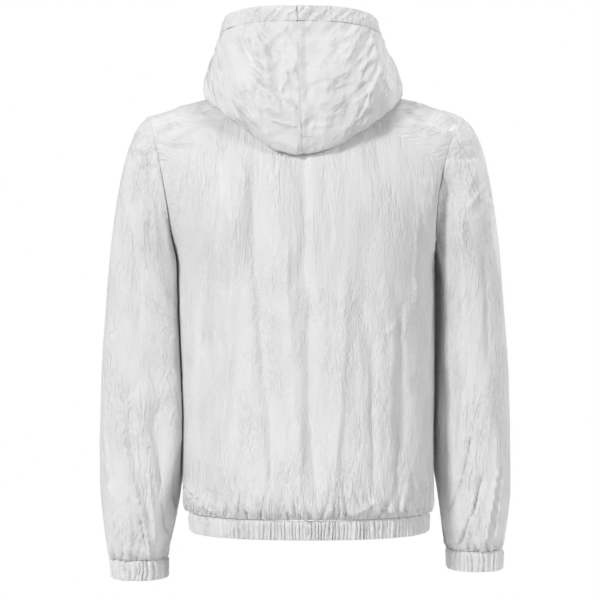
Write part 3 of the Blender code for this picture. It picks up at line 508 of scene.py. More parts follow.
def facets(across, along, seed, round_count=None):
    """Heights of a crumpled sheet at places measured in its own cells, about -1 to 1."""
    rng = np.random.default_rng(seed)
    first = (floor(across.min()) - 2, floor(along.min()) - 2)
    last = (ceil(across.max()) + 3, ceil(along.max()) + 3)
    columns = np.arange(first[0], last[0])
    rows = np.arange(first[1], last[1])
    count = round_count or len(columns)
    shifts = rng.uniform(-FACET_SHIFT, FACET_SHIFT, (count, len(rows), 2))
    heights = rng.uniform(-1, 1, (count, len(rows)))
    pick = np.mod(columns, count)
    x = columns[:, None] + shifts[pick, :, 0]
    y = rows[None, :] + shifts[pick, :, 1]
    flat = [Vector(spot) for spot in np.stack((x.ravel(), y.ravel()), axis=-1)]
    level = heights[pick].ravel()
    spots, _, faces, sources, _, _ = delaunay_2d_cdt(flat, [], [], 0, 1e-9)
    raised = [(spot.x, spot.y, level[source[0]]) for spot, source in zip(spots, sources)]
    tree = BVHTree.FromPolygons(raised, faces)
    down = Vector((0, 0, -1))
    read = [tree.ray_cast((u, v, 9.0), down)[0] for u, v in zip(across.ravel(), along.ravel())]
    return np.array([hit.z if hit else 0.0 for hit in read]).reshape(across.shape)


print("facets at four places:", facets(np.arange(4.0), np.zeros(4), 1).round(2))

# %% Pleats of uneven width
PLEAT_WIDTHS, PLEAT_HEIGHTS = (0.55, 1.45), (0.35, 1.0)


def pleats(at, total, width, seed, sharpness=0.6):
    """Rounded crests with narrow valleys between them, round a ring that is total metres long."""
    rng = np.random.default_rng(seed)
    count = round(total / width)
    steps = rng.uniform(*PLEAT_WIDTHS, count)
    edges = np.concatenate(([0.0], np.cumsum(steps))) * total / steps.sum()
    tall = rng.uniform(*PLEAT_HEIGHTS, count)
    at = np.mod(at, total)
    index = np.clip(np.searchsorted(edges, at, side="right") - 1, 0, count - 1)
    inside = (at - edges[index]) / (edges[index + 1] - edges[index])
    return tall[index] * np.sin(pi * inside) ** sharpness


print("pleats at four places:", pleats(np.arange(4) / 4, 1.0, 0.1, 1).round(2))

# %% Folds listed one by one
FOLD_COLUMNS = "first_x first_z last_x last_z width height crisp lean"
WANDERS = ((1.0, 5, 1.7), (0.3, 17, 2.9))    # reach, waves along a fold, and shift for each fold


def folds(*rows):
    """A table of folds. Where lean is left out, both flanks are alike."""
    return table(FOLD_COLUMNS, *((*row, 0)[:8] for row in rows))


def fold_heights(listed, x, z, wander=0.25):
    """Ridges above zero and troughs below it, each along a line that wanders and fades at its ends.

    crisp runs from 0, a soft swell, to 1, a pressed edge. lean makes one flank the wider one.
    """
    total = np.zeros(np.broadcast(x, z).shape)
    for number, fold in enumerate(zip(*listed.values())):
        first_x, first_z, last_x, last_z, width, height, crisp, lean = fold
        run_x, run_z = last_x - first_x, last_z - first_z
        length = np.hypot(run_x, run_z)
        along = ((x - first_x) * run_x + (z - first_z) * run_z) / length ** 2
        away = ((x - first_x) * run_z - (z - first_z) * run_x) / length
        for reach, waves, shift in WANDERS:
            away = away + reach * wander * width * np.sin(along * waves + number * shift)
        reach = width * (1 + lean * np.sign(away)) * (0.75 + 0.25 * np.sin(along * 4 + number))
        swell = hump(away, reach)
        edge = np.exp(-1.6 * np.abs(away) / reach)
        fade = smooth_step((along + 0.12) / 0.3) * smooth_step((1.12 - along) / 0.3)
        total += height * fade * mix(swell, edge, crisp)
    return total


crest = fold_heights(folds((0, 0, 100, 0, 5, 2, 0.5)), 0.05, 0.0)
print("height half way along a 2 mm fold:", round(float(crest) * 1000, 2), "mm")

# %% [markdown]
# ## From a grid of places to a piece of cloth
# Each piece is one or two grids of places. Grids that share an edge share its points, so the
# cloth is whole there. The points are then pushed along the cloth's own normals by the heights of
# its folds, the flat cut is kept as a UV map in metres, and Solidify gives the cloth its
# thickness.

# %% Thickness, and helpers for objects
CLOTH = 0.0005            # thickness of the shown cloth
SAME_PLACE = 1e-6         # points closer than this are one point
parts = bpy.data.collections.new("anorak")
bpy.context.scene.collection.children.link(parts)


def select_only(*objects):
    for other in bpy.context.scene.objects:
        other.select_set(False)
    for chosen in objects:
        chosen.select_set(True)
    bpy.context.view_layer.objects.active = objects[0]


def apply_modifier(piece, name):
    select_only(piece)
    bpy.ops.object.modifier_apply(modifier=name)


print("new pieces go into the collection", parts.name)

# %% A piece of cloth while it is made
class Cloth:
    """A piece of cloth while it is made: its grids, and the mesh that they share."""

    def __init__(self, name, grids, cuts, inside, ring=False):
        self.name = name
        points = np.concatenate([grid.reshape(-1, 3) for grid in grids])
        owner = np.arange(len(points))
        ends = np.cumsum([grid[..., 0].size for grid in grids])[:-1]
        indexes = np.split(owner.copy(), ends)
        self.grids = [index.reshape(grid.shape[:2]) for index, grid in zip(indexes, grids)]
        if ring:
            for index in self.grids:
                owner[index[:, -1]] = index[:, 0]
        if len(grids) == 2:
            one, two = (index[:, 0] for index in self.grids)
            near = np.abs(points[one] - points[two]).max(axis=1) < SAME_PLACE
            owner[two[near]] = one[near]
        self.kept = np.unique(owner)
        self.number = np.searchsorted(self.kept, owner)
        corners = []
        for index in self.grids:
            quads = (index[:-1, :-1], index[:-1, 1:], index[1:, 1:], index[1:, :-1])
            quads = np.stack(quads, axis=-1).reshape(-1, 4)
            a, b, c, d = (points[quads[:, k]] for k in range(4))
            facing = np.cross(c - a, d - b)
            inwards = (facing * ((a + c) / 2 - inside)).sum() < 0
            corners.append(quads[:, ::-1] if inwards else quads)
        corners = np.concatenate(corners)
        self.faces = self.number[corners]
        self.points = points[self.kept]
        self.mesh = bpy.data.meshes.new(name)
        self.mesh.from_pydata(self.points, [], self.faces.tolist())
        flat = np.concatenate([cut.reshape(-1, 2) for cut in cuts])
        layer = self.mesh.uv_layers.new(name="cut")
        layer.data.foreach_set("uv", flat[corners].astype(np.float32).ravel())
        self.normals = self.read_normals()

    def read_normals(self):
        normals = np.empty(len(self.mesh.vertices) * 3, np.float32)
        self.mesh.vertices.foreach_get("normal", normals)
        return normals.reshape(-1, 3).astype(float)

    def grid(self, number=0, of=None):
        """One of the cloth's grids of places again, or of its normals."""
        values = self.points if of is None else of
        return values[self.number[self.grids[number]]]

    def move(self, shift):
        """Move every point by one vector or one height each; heights go along the normals."""
        if shift.ndim == 1:
            shift = shift[:, None] * self.normals
        self.points = self.points + shift
        self.mesh.vertices.foreach_set("co", self.points.astype(np.float32).ravel())
        self.mesh.update()

    def push(self, heights):
        """Raise the cloth by one grid of heights for each of its grids."""
        flat = np.concatenate([height.ravel() for height in heights])
        self.move(flat[self.kept])

    def mark(self, name, values):
        """Keep one number a point as an attribute that a material can read."""
        flat = np.concatenate([value.ravel() for value in values])
        layer = self.mesh.attributes.new(name, "FLOAT", "POINT")
        layer.data.foreach_set("value", flat[self.kept].astype(np.float32))

    def finish(self, wall=CLOTH):
        piece = bpy.data.objects.new(self.name, self.mesh)
        parts.objects.link(piece)
        solid = piece.modifiers.new("thickness", "SOLIDIFY")
        solid.thickness = wall
        solid.offset = -1
        apply_modifier(piece, "thickness")
        piece.data.shade_smooth()
        piece.data.set_sharp_from_angle(angle=radians(60))
        count = sum(len(face.vertices) - 2 for face in piece.data.polygons)
        print(f"{self.name}: {count} triangles")
        return piece


def tree_of(*cloths):
    """A search tree over the faces of several pieces of cloth."""
    spots, faces = [], []
    for cloth in cloths:
        faces += (cloth.faces + len(spots)).tolist()
        spots += cloth.points.tolist()
    return BVHTree.FromPolygons(spots, faces)


print("the shown cloth is", CLOTH * 1000, "mm thick")

# %% [markdown]
# ## Back and front
# Both panels use one recipe. The folds seen from behind are listed with where they start and end,
# how wide and high they are, how crisp, and which flank is the wider. The front gets folds of the
# same kinds. Crumple and a slow drape lie over the listed folds, and short gathers stand above
# the band.

# %% Folds of the body
BACK_FOLDS = folds(
    (74, -125, 66, -410, 14, -7.8, 0.3, 0.3),
    (60, -400, 49, -600, 12, -5.9, 0.3, 0.2),
    (5, -115, -4, -300, 13, -5.9, 0.2, -0.2),
    (-4, -280, -15, -610, 14, -6.8, 0.3, -0.3),
    (-140, -330, -140, -530, 10, -5.5, 0.2),
    (-132, -430, -132, -612, 8, -5.2, 0.6, 0.3),
    (143, -240, 141, -400, 10, -5.2, 0.5),
    (149, -330, 152, -560, 9, -3.3, 0.6, 0.2),
    (97, -470, 97, -635, 4, -2, 0.9),
    (107, -175, 109, -395, 16, 4.8, 0.2, 0.3),
    (109, -380, 117, -600, 12, 5.9, 0.5),
    (24, -240, 22, -400, 10, 3.9, 0.4),
    (16, -450, 6, -560, 9, 3, 0.5),
    (-55, -280, -46, -600, 12, 4.2, 0.3, -0.3),
    (-86, -190, -90, -420, 20, -3.6, 0),
    (-100, -380, -94, -615, 10, -4.2, 0.4, 0.2),
    (-140, -341, -117, -369, 6, 2, 0.7, 0.4),
    (-132, -522, -127, -619, 3, 2.2, 0.9, -0.4),
    (40, -130, 36, -240, 8, 2, 0.5),
    (-30, -130, -34, -250, 10, -2.2, 0.4),
    (125, -120, 122, -230, 10, -2.2, 0.4),
    (-160, -200, -163, -330, 8, 2.5, 0.5),
    (229, -68, 144, -42, 4.5, -6.8, 0.6, 0.3),
    (226, -80, 150, -56, 6, -6.6, 0.5, 0.3),
    (229, -61, 160, -37, 4, -4.8, 0.7),
    (226, -73, 147, -49, 5, 4.5, 0.4),
    (226, -92, 150, -70, 10, 5, 0.3),
    (200, -106, 150, -94, 6, -3, 0.3, 0.2),
    (-130, -26, -222, -58, 6, 6.3, 0.6, 0.3),
    (-140, -44, -226, -74, 8, -5.3, 0.4),
    (-150, -60, -228, -88, 6, 4.2, 0.6, 0.2),
    (-167, -151, -200, -162, 5, 2, 0.6),
    (-167, -179, -198, -190, 5, 1.8, 0.6),
    (176, -586, 134, -628, 5, 8, 0.9, -0.3),
    (176, -600, 153, -625, 4, 6.2, 0.9, -0.3),
    (143, -578, 143, -606, 4, -3.8, 0.8),
    (35, -600, 34, -636, 4, -4.2, 0.8),
    (15, -604, 15, -636, 4, -4.2, 0.8),
    (-17, -592, -18, -632, 5, -4.2, 0.7),
    (-66, -636, -96, -611, 6, 5.4, 0.7, 0.3),
    (-96, -611, -131, -629, 6, 5.4, 0.7, 0.3),
    (-156, -575, -157, -612, 4, -4.5, 0.8),
    (-177, -583, -164, -622, 6, -5.8, 0.7),
)
FRONT_FOLDS = folds(
    (110, -260, 70, -600, 18, -4, 0.3, 0.2),
    (-90, -240, -75, -610, 16, -4, 0.3, -0.2),
    (55, -360, 20, -610, 14, 3, 0.4),
    (-30, -380, -24, -600, 14, -3, 0.3),
    (140, -350, 135, -590, 12, 3, 0.5),
    (-135, -300, -130, -600, 12, 3, 0.5),
    (34, -350, 60, -480, 10, 2.2, 0.5),
    (-20, -345, -60, -470, 10, 2.4, 0.5),
    (150, -90, 110, -200, 14, -2.4, 0.3),
    (-155, -90, -120, -190, 14, -2.4, 0.3),
    (205, -70, 150, -62, 9, 2, 0.3),
    (-150, -48, -214, -70, 9, 2, 0.3),
    (160, -440, 156, -600, 8, -2.4, 0.5),
    (-160, -470, -150, -610, 8, -2.6, 0.5),
    (170, -590, 130, -628, 6, 3.2, 0.8, 0.3),
    (-165, -585, -120, -630, 6, 3.2, 0.8, -0.3),
    (90, -600, 88, -635, 5, -2.6, 0.8),
    (-45, -596, -48, -634, 5, -2.6, 0.8),
)
PANEL_FOLDS = {BACK: BACK_FOLDS, FRONT: FRONT_FOLDS}
print(len(BACK_FOLDS["width"]), "folds on the back,", len(FRONT_FOLDS["width"]), "on the front")

# %% Crumple and drape
CRUMPLE_SIZES = (         # width across, length along and height of each layer of facets
    (0.0300, 0.150, 0.0013),
    (0.0135, 0.070, 0.00085),
    (0.0075, 0.034, 0.00050),
)
WARPS = ((0.050, 0.090, 0.0070), (0.017, 0.035, 0.0028))    # and of the noise that bends them
SWELLS = ((0.045, 0.260, 0.0018), (0.022, 0.160, 0.0008))   # and of the drape
CALMEST, BUSIEST = 0.35, 1.3      # strength of the crumple in calm and in busy places
ELASTIC_REACH = 0.10      # how far above an elastic the crumple is still stronger


def crumple(angle, radius, along, seed):
    """The crushed look of thin nylon on a tube: long narrow facets, in calm and busy patches."""
    at = angle * radius + layered_noise(WARPS, angle, radius, along, seed)
    ring = 2 * pi * radius
    total = 0.0
    for number, (width, length, height) in enumerate(CRUMPLE_SIZES):
        count = round(ring / width)
        busy = tube_noise(angle, radius, along, 4 * width, 2 * length, seed + 20 + number)
        layer = facets(at / ring * count, along / length, seed + 40 + number, count)
        total = total + height * layer * mix(CALMEST, BUSIEST, smooth_step(busy + 0.5))
    return total


def drape(angle, radius, along, seed):
    return layered_noise(SWELLS, angle, radius, along, seed + 5)


def near_elastic(away):
    """1 at a gathered seam, fading over a hand's width of cloth."""
    return np.exp(-away / ELASTIC_REACH)


def gathers(at, away, total, seed, wide, fine):
    """Short tucks that stand above a gathered seam and die out over the cloth."""
    width, sharpness, level, slope, reach, height = wide
    tall = pleats(at + slope * away, total, width, seed, sharpness) - level
    tall = tall * hump(away, reach) * height
    width, slope, reach, height = fine
    short = pleats(at + slope * away, total, width, seed + 1) - 0.5
    return tall + short * np.exp(-away / reach) * height


print("the crumple has", len(CRUMPLE_SIZES), "sizes of facets")

# %% Numbers for the body's cloth
BODY_RADIUS = 0.155       # of the round tube on which the body's patterns are laid out
BODY_ROUND = 2 * pi * BODY_RADIUS
BODY_SEED = 11
YOKE_LENGTH = 0.30        # cut length of the yoke, from the underarm row to the shoulder
YOKE_WIDTH, NECK_WIDTH = 0.13, 0.12       # cut width of its rows beside the armhole and the neck
YOKE_CALM, HEM_BUSY = 0.7, 0.9            # strength of the crumple there, and what the hem adds
ARMHOLE_FADE, NECK_FADE, SHOULDER_FADE, HEM_FADE = 0.007, 0.012, 0.014, 0.008
SLIT_UP = 8 / 9           # how far up to the underarm row the front's slit starts
SLIT_FADE, SLIT_CALM = 0.016, 0.15        # beside the slit the cloth is held nearly flat
SLIT_ROLL, SLIT_ROLL_REACH = 0.0018, 0.0016       # the slit's edge turns down to the zip's tape
SIDE_FOLD = {LEFT: 0.0038, RIGHT: 0.0025}         # the body's cloth folds along its sides
SIDE_FOLD_REACH = 0.007
HEM_DRAWN_IN, DRAWN_REACH = 0.0012, 0.014         # the band's elastic draws the lower edge in
SEAM_GROOVE, GROOVE_REACH = 0.0007, 0.0022
PUCKER_WIDTH, PUCKER_REACH, BODY_PUCKER = 0.013, 0.014, 0.0020   # beside the armhole's seam
HEM_SLANT, SLANT_PATCH = 1.3, 0.05        # how much the tucks above the band lean, in patches
HEM_TUCKS = (
    (0.016, 0.7, 0.5, 0.0, 0.040, 0.0095),    # wide: width, sharpness, level, slope, reach, height
    (0.0105, 0.3, 0.020, 0.0064),             # fine: width, slope, reach, height
)


def lengthwise(up):
    """How far up the cut a row lies, in metres from the band."""
    below = np.minimum(up, 1) * (UNDERARM - HEM_TOP)
    return below + np.maximum(up - 1, 0) * YOKE_LENGTH


print("from band to shoulder the cut is", round(float(lengthwise(2.0)), 3), "m")

# %% Heights of the body's cloth
def body_heights(side, facing, share, up, base):
    angle = body_angle(side, facing, share)
    angle = np.where(angle < -pi / 2, angle + 2 * pi, angle)
    along = lengthwise(up)
    tube = angle, BODY_RADIUS, along
    heights = fold_heights(PANEL_FOLDS[facing], base[..., 0], base[..., 2])
    heights += drape(*tube, BODY_SEED)
    strength = mix(1.0, YOKE_CALM, smooth_step((up - 1.2) / 0.5))
    heights += crumple(*tube, BODY_SEED) * strength * (1 + HEM_BUSY * near_elastic(along))
    slant = tube_noise(angle, BODY_RADIUS, 0 * along, SLANT_PATCH, 1, BODY_SEED + 9)
    at = angle * BODY_RADIUS + HEM_SLANT * slant * along
    heights += gathers(at, along, BODY_ROUND, BODY_SEED + 10, *HEM_TUCKS)
    from_armhole = np.where(up > 1, (1 - share) * YOKE_WIDTH, 1.0)
    pucker = pleats(along, 1.0, PUCKER_WIDTH, BODY_SEED + 12) - 0.4
    heights += BODY_PUCKER * pucker * np.exp(-from_armhole / PUCKER_REACH) * (up > 1)
    hangs = smooth_step((1 - up) / 0.12) * smooth_step((along - 0.02) / 0.10)
    heights += SIDE_FOLD[side] * hump((1 - share) * BODY_ROUND / 4, SIDE_FOLD_REACH) * hangs
    if facing == FRONT:
        from_slit = np.where(up > SLIT_UP, np.abs(base[..., 0]) - SLIT_HALF_WIDTH, 1.0)
        heights = heights * mix(SLIT_CALM, 1.0, smooth_step(from_slit / SLIT_FADE))
        heights -= SLIT_ROLL * hump(from_slit, SLIT_ROLL_REACH)
    from_neck = np.where(up > 1 + NECK_UP[facing], share * NECK_WIDTH, 1.0)
    heights *= smooth_step(from_armhole / ARMHOLE_FADE) * smooth_step(from_neck / NECK_FADE)
    heights *= smooth_step((2 - up) * YOKE_LENGTH / SHOULDER_FADE)
    heights *= smooth_step((along + 0.002) / HEM_FADE)
    return heights - HEM_DRAWN_IN * hump(along, DRAWN_REACH)


print("gathers stand up to", HEM_TUCKS[0][-1] * 1000, "mm above the band")

# %% Make the back and front
BODY_COLUMNS = {BACK: 94, FRONT: 54}
BODY_ROWS_BELOW, YOKE_ROWS = 144, 96
SLIT_ROW = 128            # where the front's slit ends, 8 ninths of the way to the underarm
SIDE_SHARES = (0.992, 0.9965, 1.0)        # the last columns, close together beside the side seam
INSIDE_BODY = Vector((0, 0, -0.35))
ups = np.append(np.linspace(0, 1, BODY_ROWS_BELOW + 1), np.linspace(1, 2, YOKE_ROWS + 1)[1:])
slit = np.where(np.arange(len(ups)) > SLIT_ROW, SLIT_HALF_WIDTH, 0.0)


def panel_cloth(name, facing):
    shares = np.linspace(0, SIDE_SHARES[0], BODY_COLUMNS[facing])
    shares = np.append(shares, SIDE_SHARES[1:])
    share, up = np.meshgrid(shares, ups)
    grids, cuts, heights = [], [], []
    for side in (LEFT, RIGHT):
        base = panel_place(side, facing, share, up)
        if facing == FRONT:
            base[..., 0] += side * slit[:, None] * (1 - share) ** 8
        base[..., 1] += facing * SEAM / 2
        base[..., 0] -= side * SEAM / 2 * (share == 1) * (up >= 1)
        if grids:
            near = np.abs(grids[0][:, 0] - base[:, 0]).max(axis=-1) < SAME_PLACE
            base[near, 0] = grids[0][near, 0]
        width = run_along(base, 1)
        grids.append(base)
        cuts.append(np.stack((side * width, lengthwise(up)), axis=-1))
        groove = SEAM_GROOVE * hump(width[:, -1:] - width, GROOVE_REACH)
        heights.append(body_heights(side, facing, share, up, base) - groove)
    cloth = Cloth(name, grids, cuts, INSIDE_BODY)
    cloth.push(heights)
    cloth.mark("gathered", [near_elastic(lengthwise(up))] * 2)
    return cloth


back_cloth = panel_cloth("back_panel", BACK)
front_cloth = panel_cloth("front_panel", FRONT)
back_panel = back_cloth.finish()
front_panel = front_cloth.finish()

# %% [markdown]
# ## Sleeves
# A sleeve is one tube of cloth, closed by a seam under the arm. Long slanting folds run down the
# forearm into the gathers above the cuff. The half that faces forward repeats the folds of the
# half that faces back, moved a little, because the same slack hangs on both.

# %% Folds of the sleeves
SLEEVE_FOLDS = {
    LEFT: folds(
        (270, -500, 240, -640, 5.9, 7.5, 0.9, -0.3),
        (240, -620, 231, -700, 4.3, 6.6, 0.9, -0.3),
        (294, -520, 286, -610, 5.9, 6.6, 0.9, -0.3),
        (286, -600, 272, -700, 5.1, 6.6, 0.9, -0.3),
        (196, -535, 192, -630, 5.1, -8.8, 0.9),
        (212, -620, 203, -668, 4, -5.7, 0.9),
        (243, -640, 233, -692, 4, -6.6, 0.9),
        (224, -470, 214, -600, 12, -7.5, 0.3, 0.3),
        (228, -400, 216, -500, 10, -3.1, 0.4, 0.2),
        (205, -420, 200, -500, 8, 3.4, 0.4),
        (258, -440, 250, -560, 12, -4, 0.3),
        (230, -560, 222, -680, 4.3, 4, 0.9),
        (262, -600, 256, -690, 4.3, 4.4, 0.9),
        (258, -97, 230, -108, 8, 4, 0.2, 0.6),
        (256, -132, 198, -126, 8, -3.1, 0.4),
        (254, -104, 212, -98, 7, 2.1, 0.4),
        (256, -106, 258, -142, 5, -1.8, 0.6),
        (222, -180, 214, -330, 8, 2.3, 0.4),
        (262, -200, 268, -400, 12, 2.6, 0.2),
        (240, -210, 243, -380, 10, -2.3, 0.3),
        (236, -430, 262, -470, 8, -2, 0.5),
    ),
    RIGHT: folds(
        (243, -520, 228, -595, 5.1, -7.9, 0.9),
        (228, -590, 215, -630, 4.3, -6.6, 0.9),
        (262, -580, 243, -648, 5.1, -7.5, 0.9),
        (243, -640, 228, -690, 4, -6.6, 0.9),
        (280, -510, 281, -580, 5.1, 6.2, 0.9, 0.3),
        (282, -570, 265, -690, 5.1, 7, 0.9, 0.3),
        (292, -560, 279, -690, 4.3, 5.7, 0.9, 0.3),
        (250, -600, 238, -690, 4.3, 5.3, 0.9),
        (220, -430, 216, -560, 10, -7.5, 0.4),
        (238, -380, 236, -520, 10, -3.1, 0.3),
        (268, -147, 233, -190, 7, 3.6, 0.5),
        (250, -114, 244, -148, 5, 2.3, 0.6),
        (209, -112, 252, -112, 6, -3.4, 0.5),
        (215, -92, 248, -86, 6, 2.3, 0.5),
        (226, -200, 232, -360, 10, 2.9, 0.3),
        (258, -210, 272, -420, 12, -2.9, 0.2),
        (280, -230, 292, -420, 10, 2.3, 0.3),
    ),
}
for side, listed in SLEEVE_FOLDS.items():
    print(len(listed["width"]), "folds on the", SIDE_NAMES[side], "sleeve")

# %% Heights of the sleeves' cloth
SLEEVE_RADIUS = 0.064
SLEEVE_ROUND = 2 * pi * SLEEVE_RADIUS
SLEEVE_LENGTH = 0.66
WRIST_DRAWN_IN, WRIST_REACH = 0.0010, 0.012
WRIST_TUCKS = ((0.021, 0.8, 0.4, 0.16, 0.065, 0.0078), (0.0100, -0.15, 0.026, 0.0072))
WRIST_CALM = 0.7          # how much less crumple there is at the wrist
SLEEVE_PUCKER, SLEEVE_PUCKER_REACH = 0.0024, 0.018
SLEEVE_FADE, SLEEVE_GROOVE_REACH, SLEEVE_DRAPE = 0.006, 0.0025, 0.8
FOLD_WANDER = 0.08        # the folds at the wrist run straighter than those of the body
AHEAD_X, AHEAD_Z = 0.008, -0.018  # how far the same folds are moved on the half that faces forward
SLEEVE_SEEDS = {LEFT: 101, RIGHT: 202}


def sleeve_heights(side, angle, along, base):
    seed = SLEEVE_SEEDS[side]
    down = along * SLEEVE_LENGTH
    up = SLEEVE_LENGTH - down
    tube = angle, SLEEVE_RADIUS, down
    x, z = side * base[..., 0], base[..., 2]
    behind = smooth_step(0.5 + 3 * np.cos(angle))
    listed = SLEEVE_FOLDS[side]
    heights = fold_heights(listed, x, z, FOLD_WANDER) * behind
    heights += fold_heights(listed, x - AHEAD_X, z - AHEAD_Z, FOLD_WANDER) * (1 - behind)
    heights += drape(*tube, seed) * SLEEVE_DRAPE
    heights += crumple(*tube, seed) * (1 - WRIST_CALM * near_elastic(up))
    heights += gathers(angle * SLEEVE_RADIUS, up, SLEEVE_ROUND, seed + 10, *WRIST_TUCKS)
    at_armhole = angle * ARMHOLE_HALF_HEIGHT, 2 * pi * ARMHOLE_HALF_HEIGHT
    pucker = pleats(*at_armhole, PUCKER_WIDTH, seed + 12) - 0.3
    heights += SLEEVE_PUCKER * pucker * np.exp(-down / SLEEVE_PUCKER_REACH)
    heights *= smooth_step(down / SLEEVE_FADE) * smooth_step((up + 0.002) / SLEEVE_FADE)
    groove = SEAM_GROOVE * hump(down, SLEEVE_GROOVE_REACH)
    return heights - WRIST_DRAWN_IN * hump(up, WRIST_REACH) - groove


print("a sleeve's cut is", SLEEVE_LENGTH, "m long and", round(SLEEVE_ROUND, 3), "m round")

# %% Sleeves that hang beside the body
BODY_EDGES = {            # drops below the neck, and how far out the body's side is seen there
    LEFT: ((0.11, 0.18, 0.34, 0.55), (0.226, 0.210, 0.1965, 0.177)),
    RIGHT: ((0.11, 0.18, 0.34, 0.55), (0.215, 0.200, 0.195, 0.192)),
}
EDGE_REACH = 0.018        # width of the sleeve's strip that lies at the body's edge
HANGS_FROM, HANGS_TO = 0.12, 0.62  # drops below the neck between which a sleeve lies at the body
SLEEVE_RECESS = {LEFT: 0.0, RIGHT: 0.019}     # how far the sleeve hangs back behind the body's side
TOUCH = {LEFT: (0.026, 0.048), RIGHT: (-0.042, 0.036)}    # depth where it comes close, and reach
NEAREST, FURTHEST = 0.0015, 0.016             # air left beside the body, and the most it moves
SMOOTH_ROUNDS = 10        # of evening out what was moved


def smoothed(values, faces, rounds):
    """Values at points, spread over the faces round them a number of times."""
    shares = np.bincount(faces.ravel(), minlength=len(values))[:, None]
    for _ in range(rounds):
        total = np.zeros_like(values)
        np.add.at(total, faces, values[faces].mean(axis=1, keepdims=True))
        values = total / np.maximum(shares, 1)
    return values


def hang_beside(cloth, side):
    """Let a sleeve's inner face hang a little back from the body's side and close to it."""
    depth, drop = cloth.points[:, 1], -cloth.points[:, 2]
    hanging = smooth_step((drop - HANGS_FROM) / 0.06)
    beside = hump(np.abs(cloth.points[:, 0]) - np.interp(drop, *BODY_EDGES[side]), EDGE_REACH)
    beside *= hanging * smooth_step(1.5 * cloth.read_normals()[:, 1])
    cloth.move(beside[:, None] * np.array((0, -SLEEVE_RECESS[side], 0)))
    body = tree_of(back_cloth, front_cloth)
    level, reach = TOUCH[side]
    close = hanging * smooth_step((HANGS_TO - drop) / 0.10)
    close *= np.exp(-(((depth - level) / reach) ** 4))
    close *= smooth_step(-2 * side * cloth.read_normals()[:, 0])
    shift = np.zeros_like(cloth.points)
    for index in np.nonzero(close > 0.01)[0]:
        distance = body.ray_cast(Vector(cloth.points[index]), Vector((-side, 0, 0)), 0.05)[3]
        if distance:
            shift[index, 0] = -side * close[index] * min(max(distance - NEAREST, 0), FURTHEST)
    cloth.move(smoothed(shift, cloth.faces, SMOOTH_ROUNDS))


print("the sleeves keep", NEAREST * 1000, "mm off the body")

# %% Make the sleeves
SLEEVE_COLUMNS, SLEEVE_ROWS = 152, 206


def sleeve_cloth(side):
    turns = np.linspace(0, 1, SLEEVE_COLUMNS + 1)
    alongs = np.append(0.0, np.linspace(0.0025, 1, SLEEVE_ROWS))
    turn, along = np.meshgrid(turns, alongs)
    angle = 2 * pi * turn - pi / 2
    base = sleeve_place(side, angle, along)
    cut = np.stack((turn * SLEEVE_ROUND, along * SLEEVE_LENGTH), axis=-1)
    middle = Vector(base.reshape(-1, 3).mean(axis=0))
    cloth = Cloth("sleeve_cloth_" + SIDE_NAMES[side], [base], [cut], middle, ring=True)
    cloth.push([sleeve_heights(side, angle, along, base)])
    hang_beside(cloth, side)
    cloth.mark("gathered", [near_elastic(SLEEVE_LENGTH * (1 - along))])
    return cloth


sleeve_cloths = both(sleeve_cloth)
sleeves = both(lambda side: sleeve_cloths[side].finish())

# %% [markdown]
# ## Hem band and cuffs
# A band of the same cloth is folded over an elastic, so it has an outer and an inner face and a
# soft rounded edge below. The elastic draws it into narrow pleats of uneven width. Each pleat
# runs down the outer face, round the edge and up inside, as it does on a real gathered band.

# %% A band folded over an elastic
BAND_TUCK, TUCK_REACH = 0.0026, 0.0025    # how far a band's edge is drawn in at its seam
PLEAT_WANDER = 0.30       # how far a pleat strays sideways, in its own widths
SMALL_PLEAT, SMALL_DEPTH = 0.47, 0.35     # small pleats among the large ones
FOLDED_WALL = 0.0024      # from a band's outer face to its inner face
FOLDED_CLOTH = 0.0004     # thickness of the shown cloth where it is folded over
EDGE_ROUND = 0.0012       # height of the rounded lower edge
BAND_ROUND, CUFF_ROUND = 0.90, 0.24       # the gathered lengths round
OVER_EDGE = np.linspace(0, 1, 7)[1:-1]    # shares of the way round the folded edge


def folded_edge(rows, past):
    """Rows down one face, round the edge by going past it, and up the other face.

    Gives how far down each row lies, from 0 to 1, and its share of the way in to the other face.
    """
    face = np.linspace(0, 1, rows)
    inward = np.concatenate((0 * face, 0.5 * (1 - np.cos(pi * OVER_EDGE)), 0 * face + 1))
    return np.concatenate((face, 1 + past, face[::-1])), inward


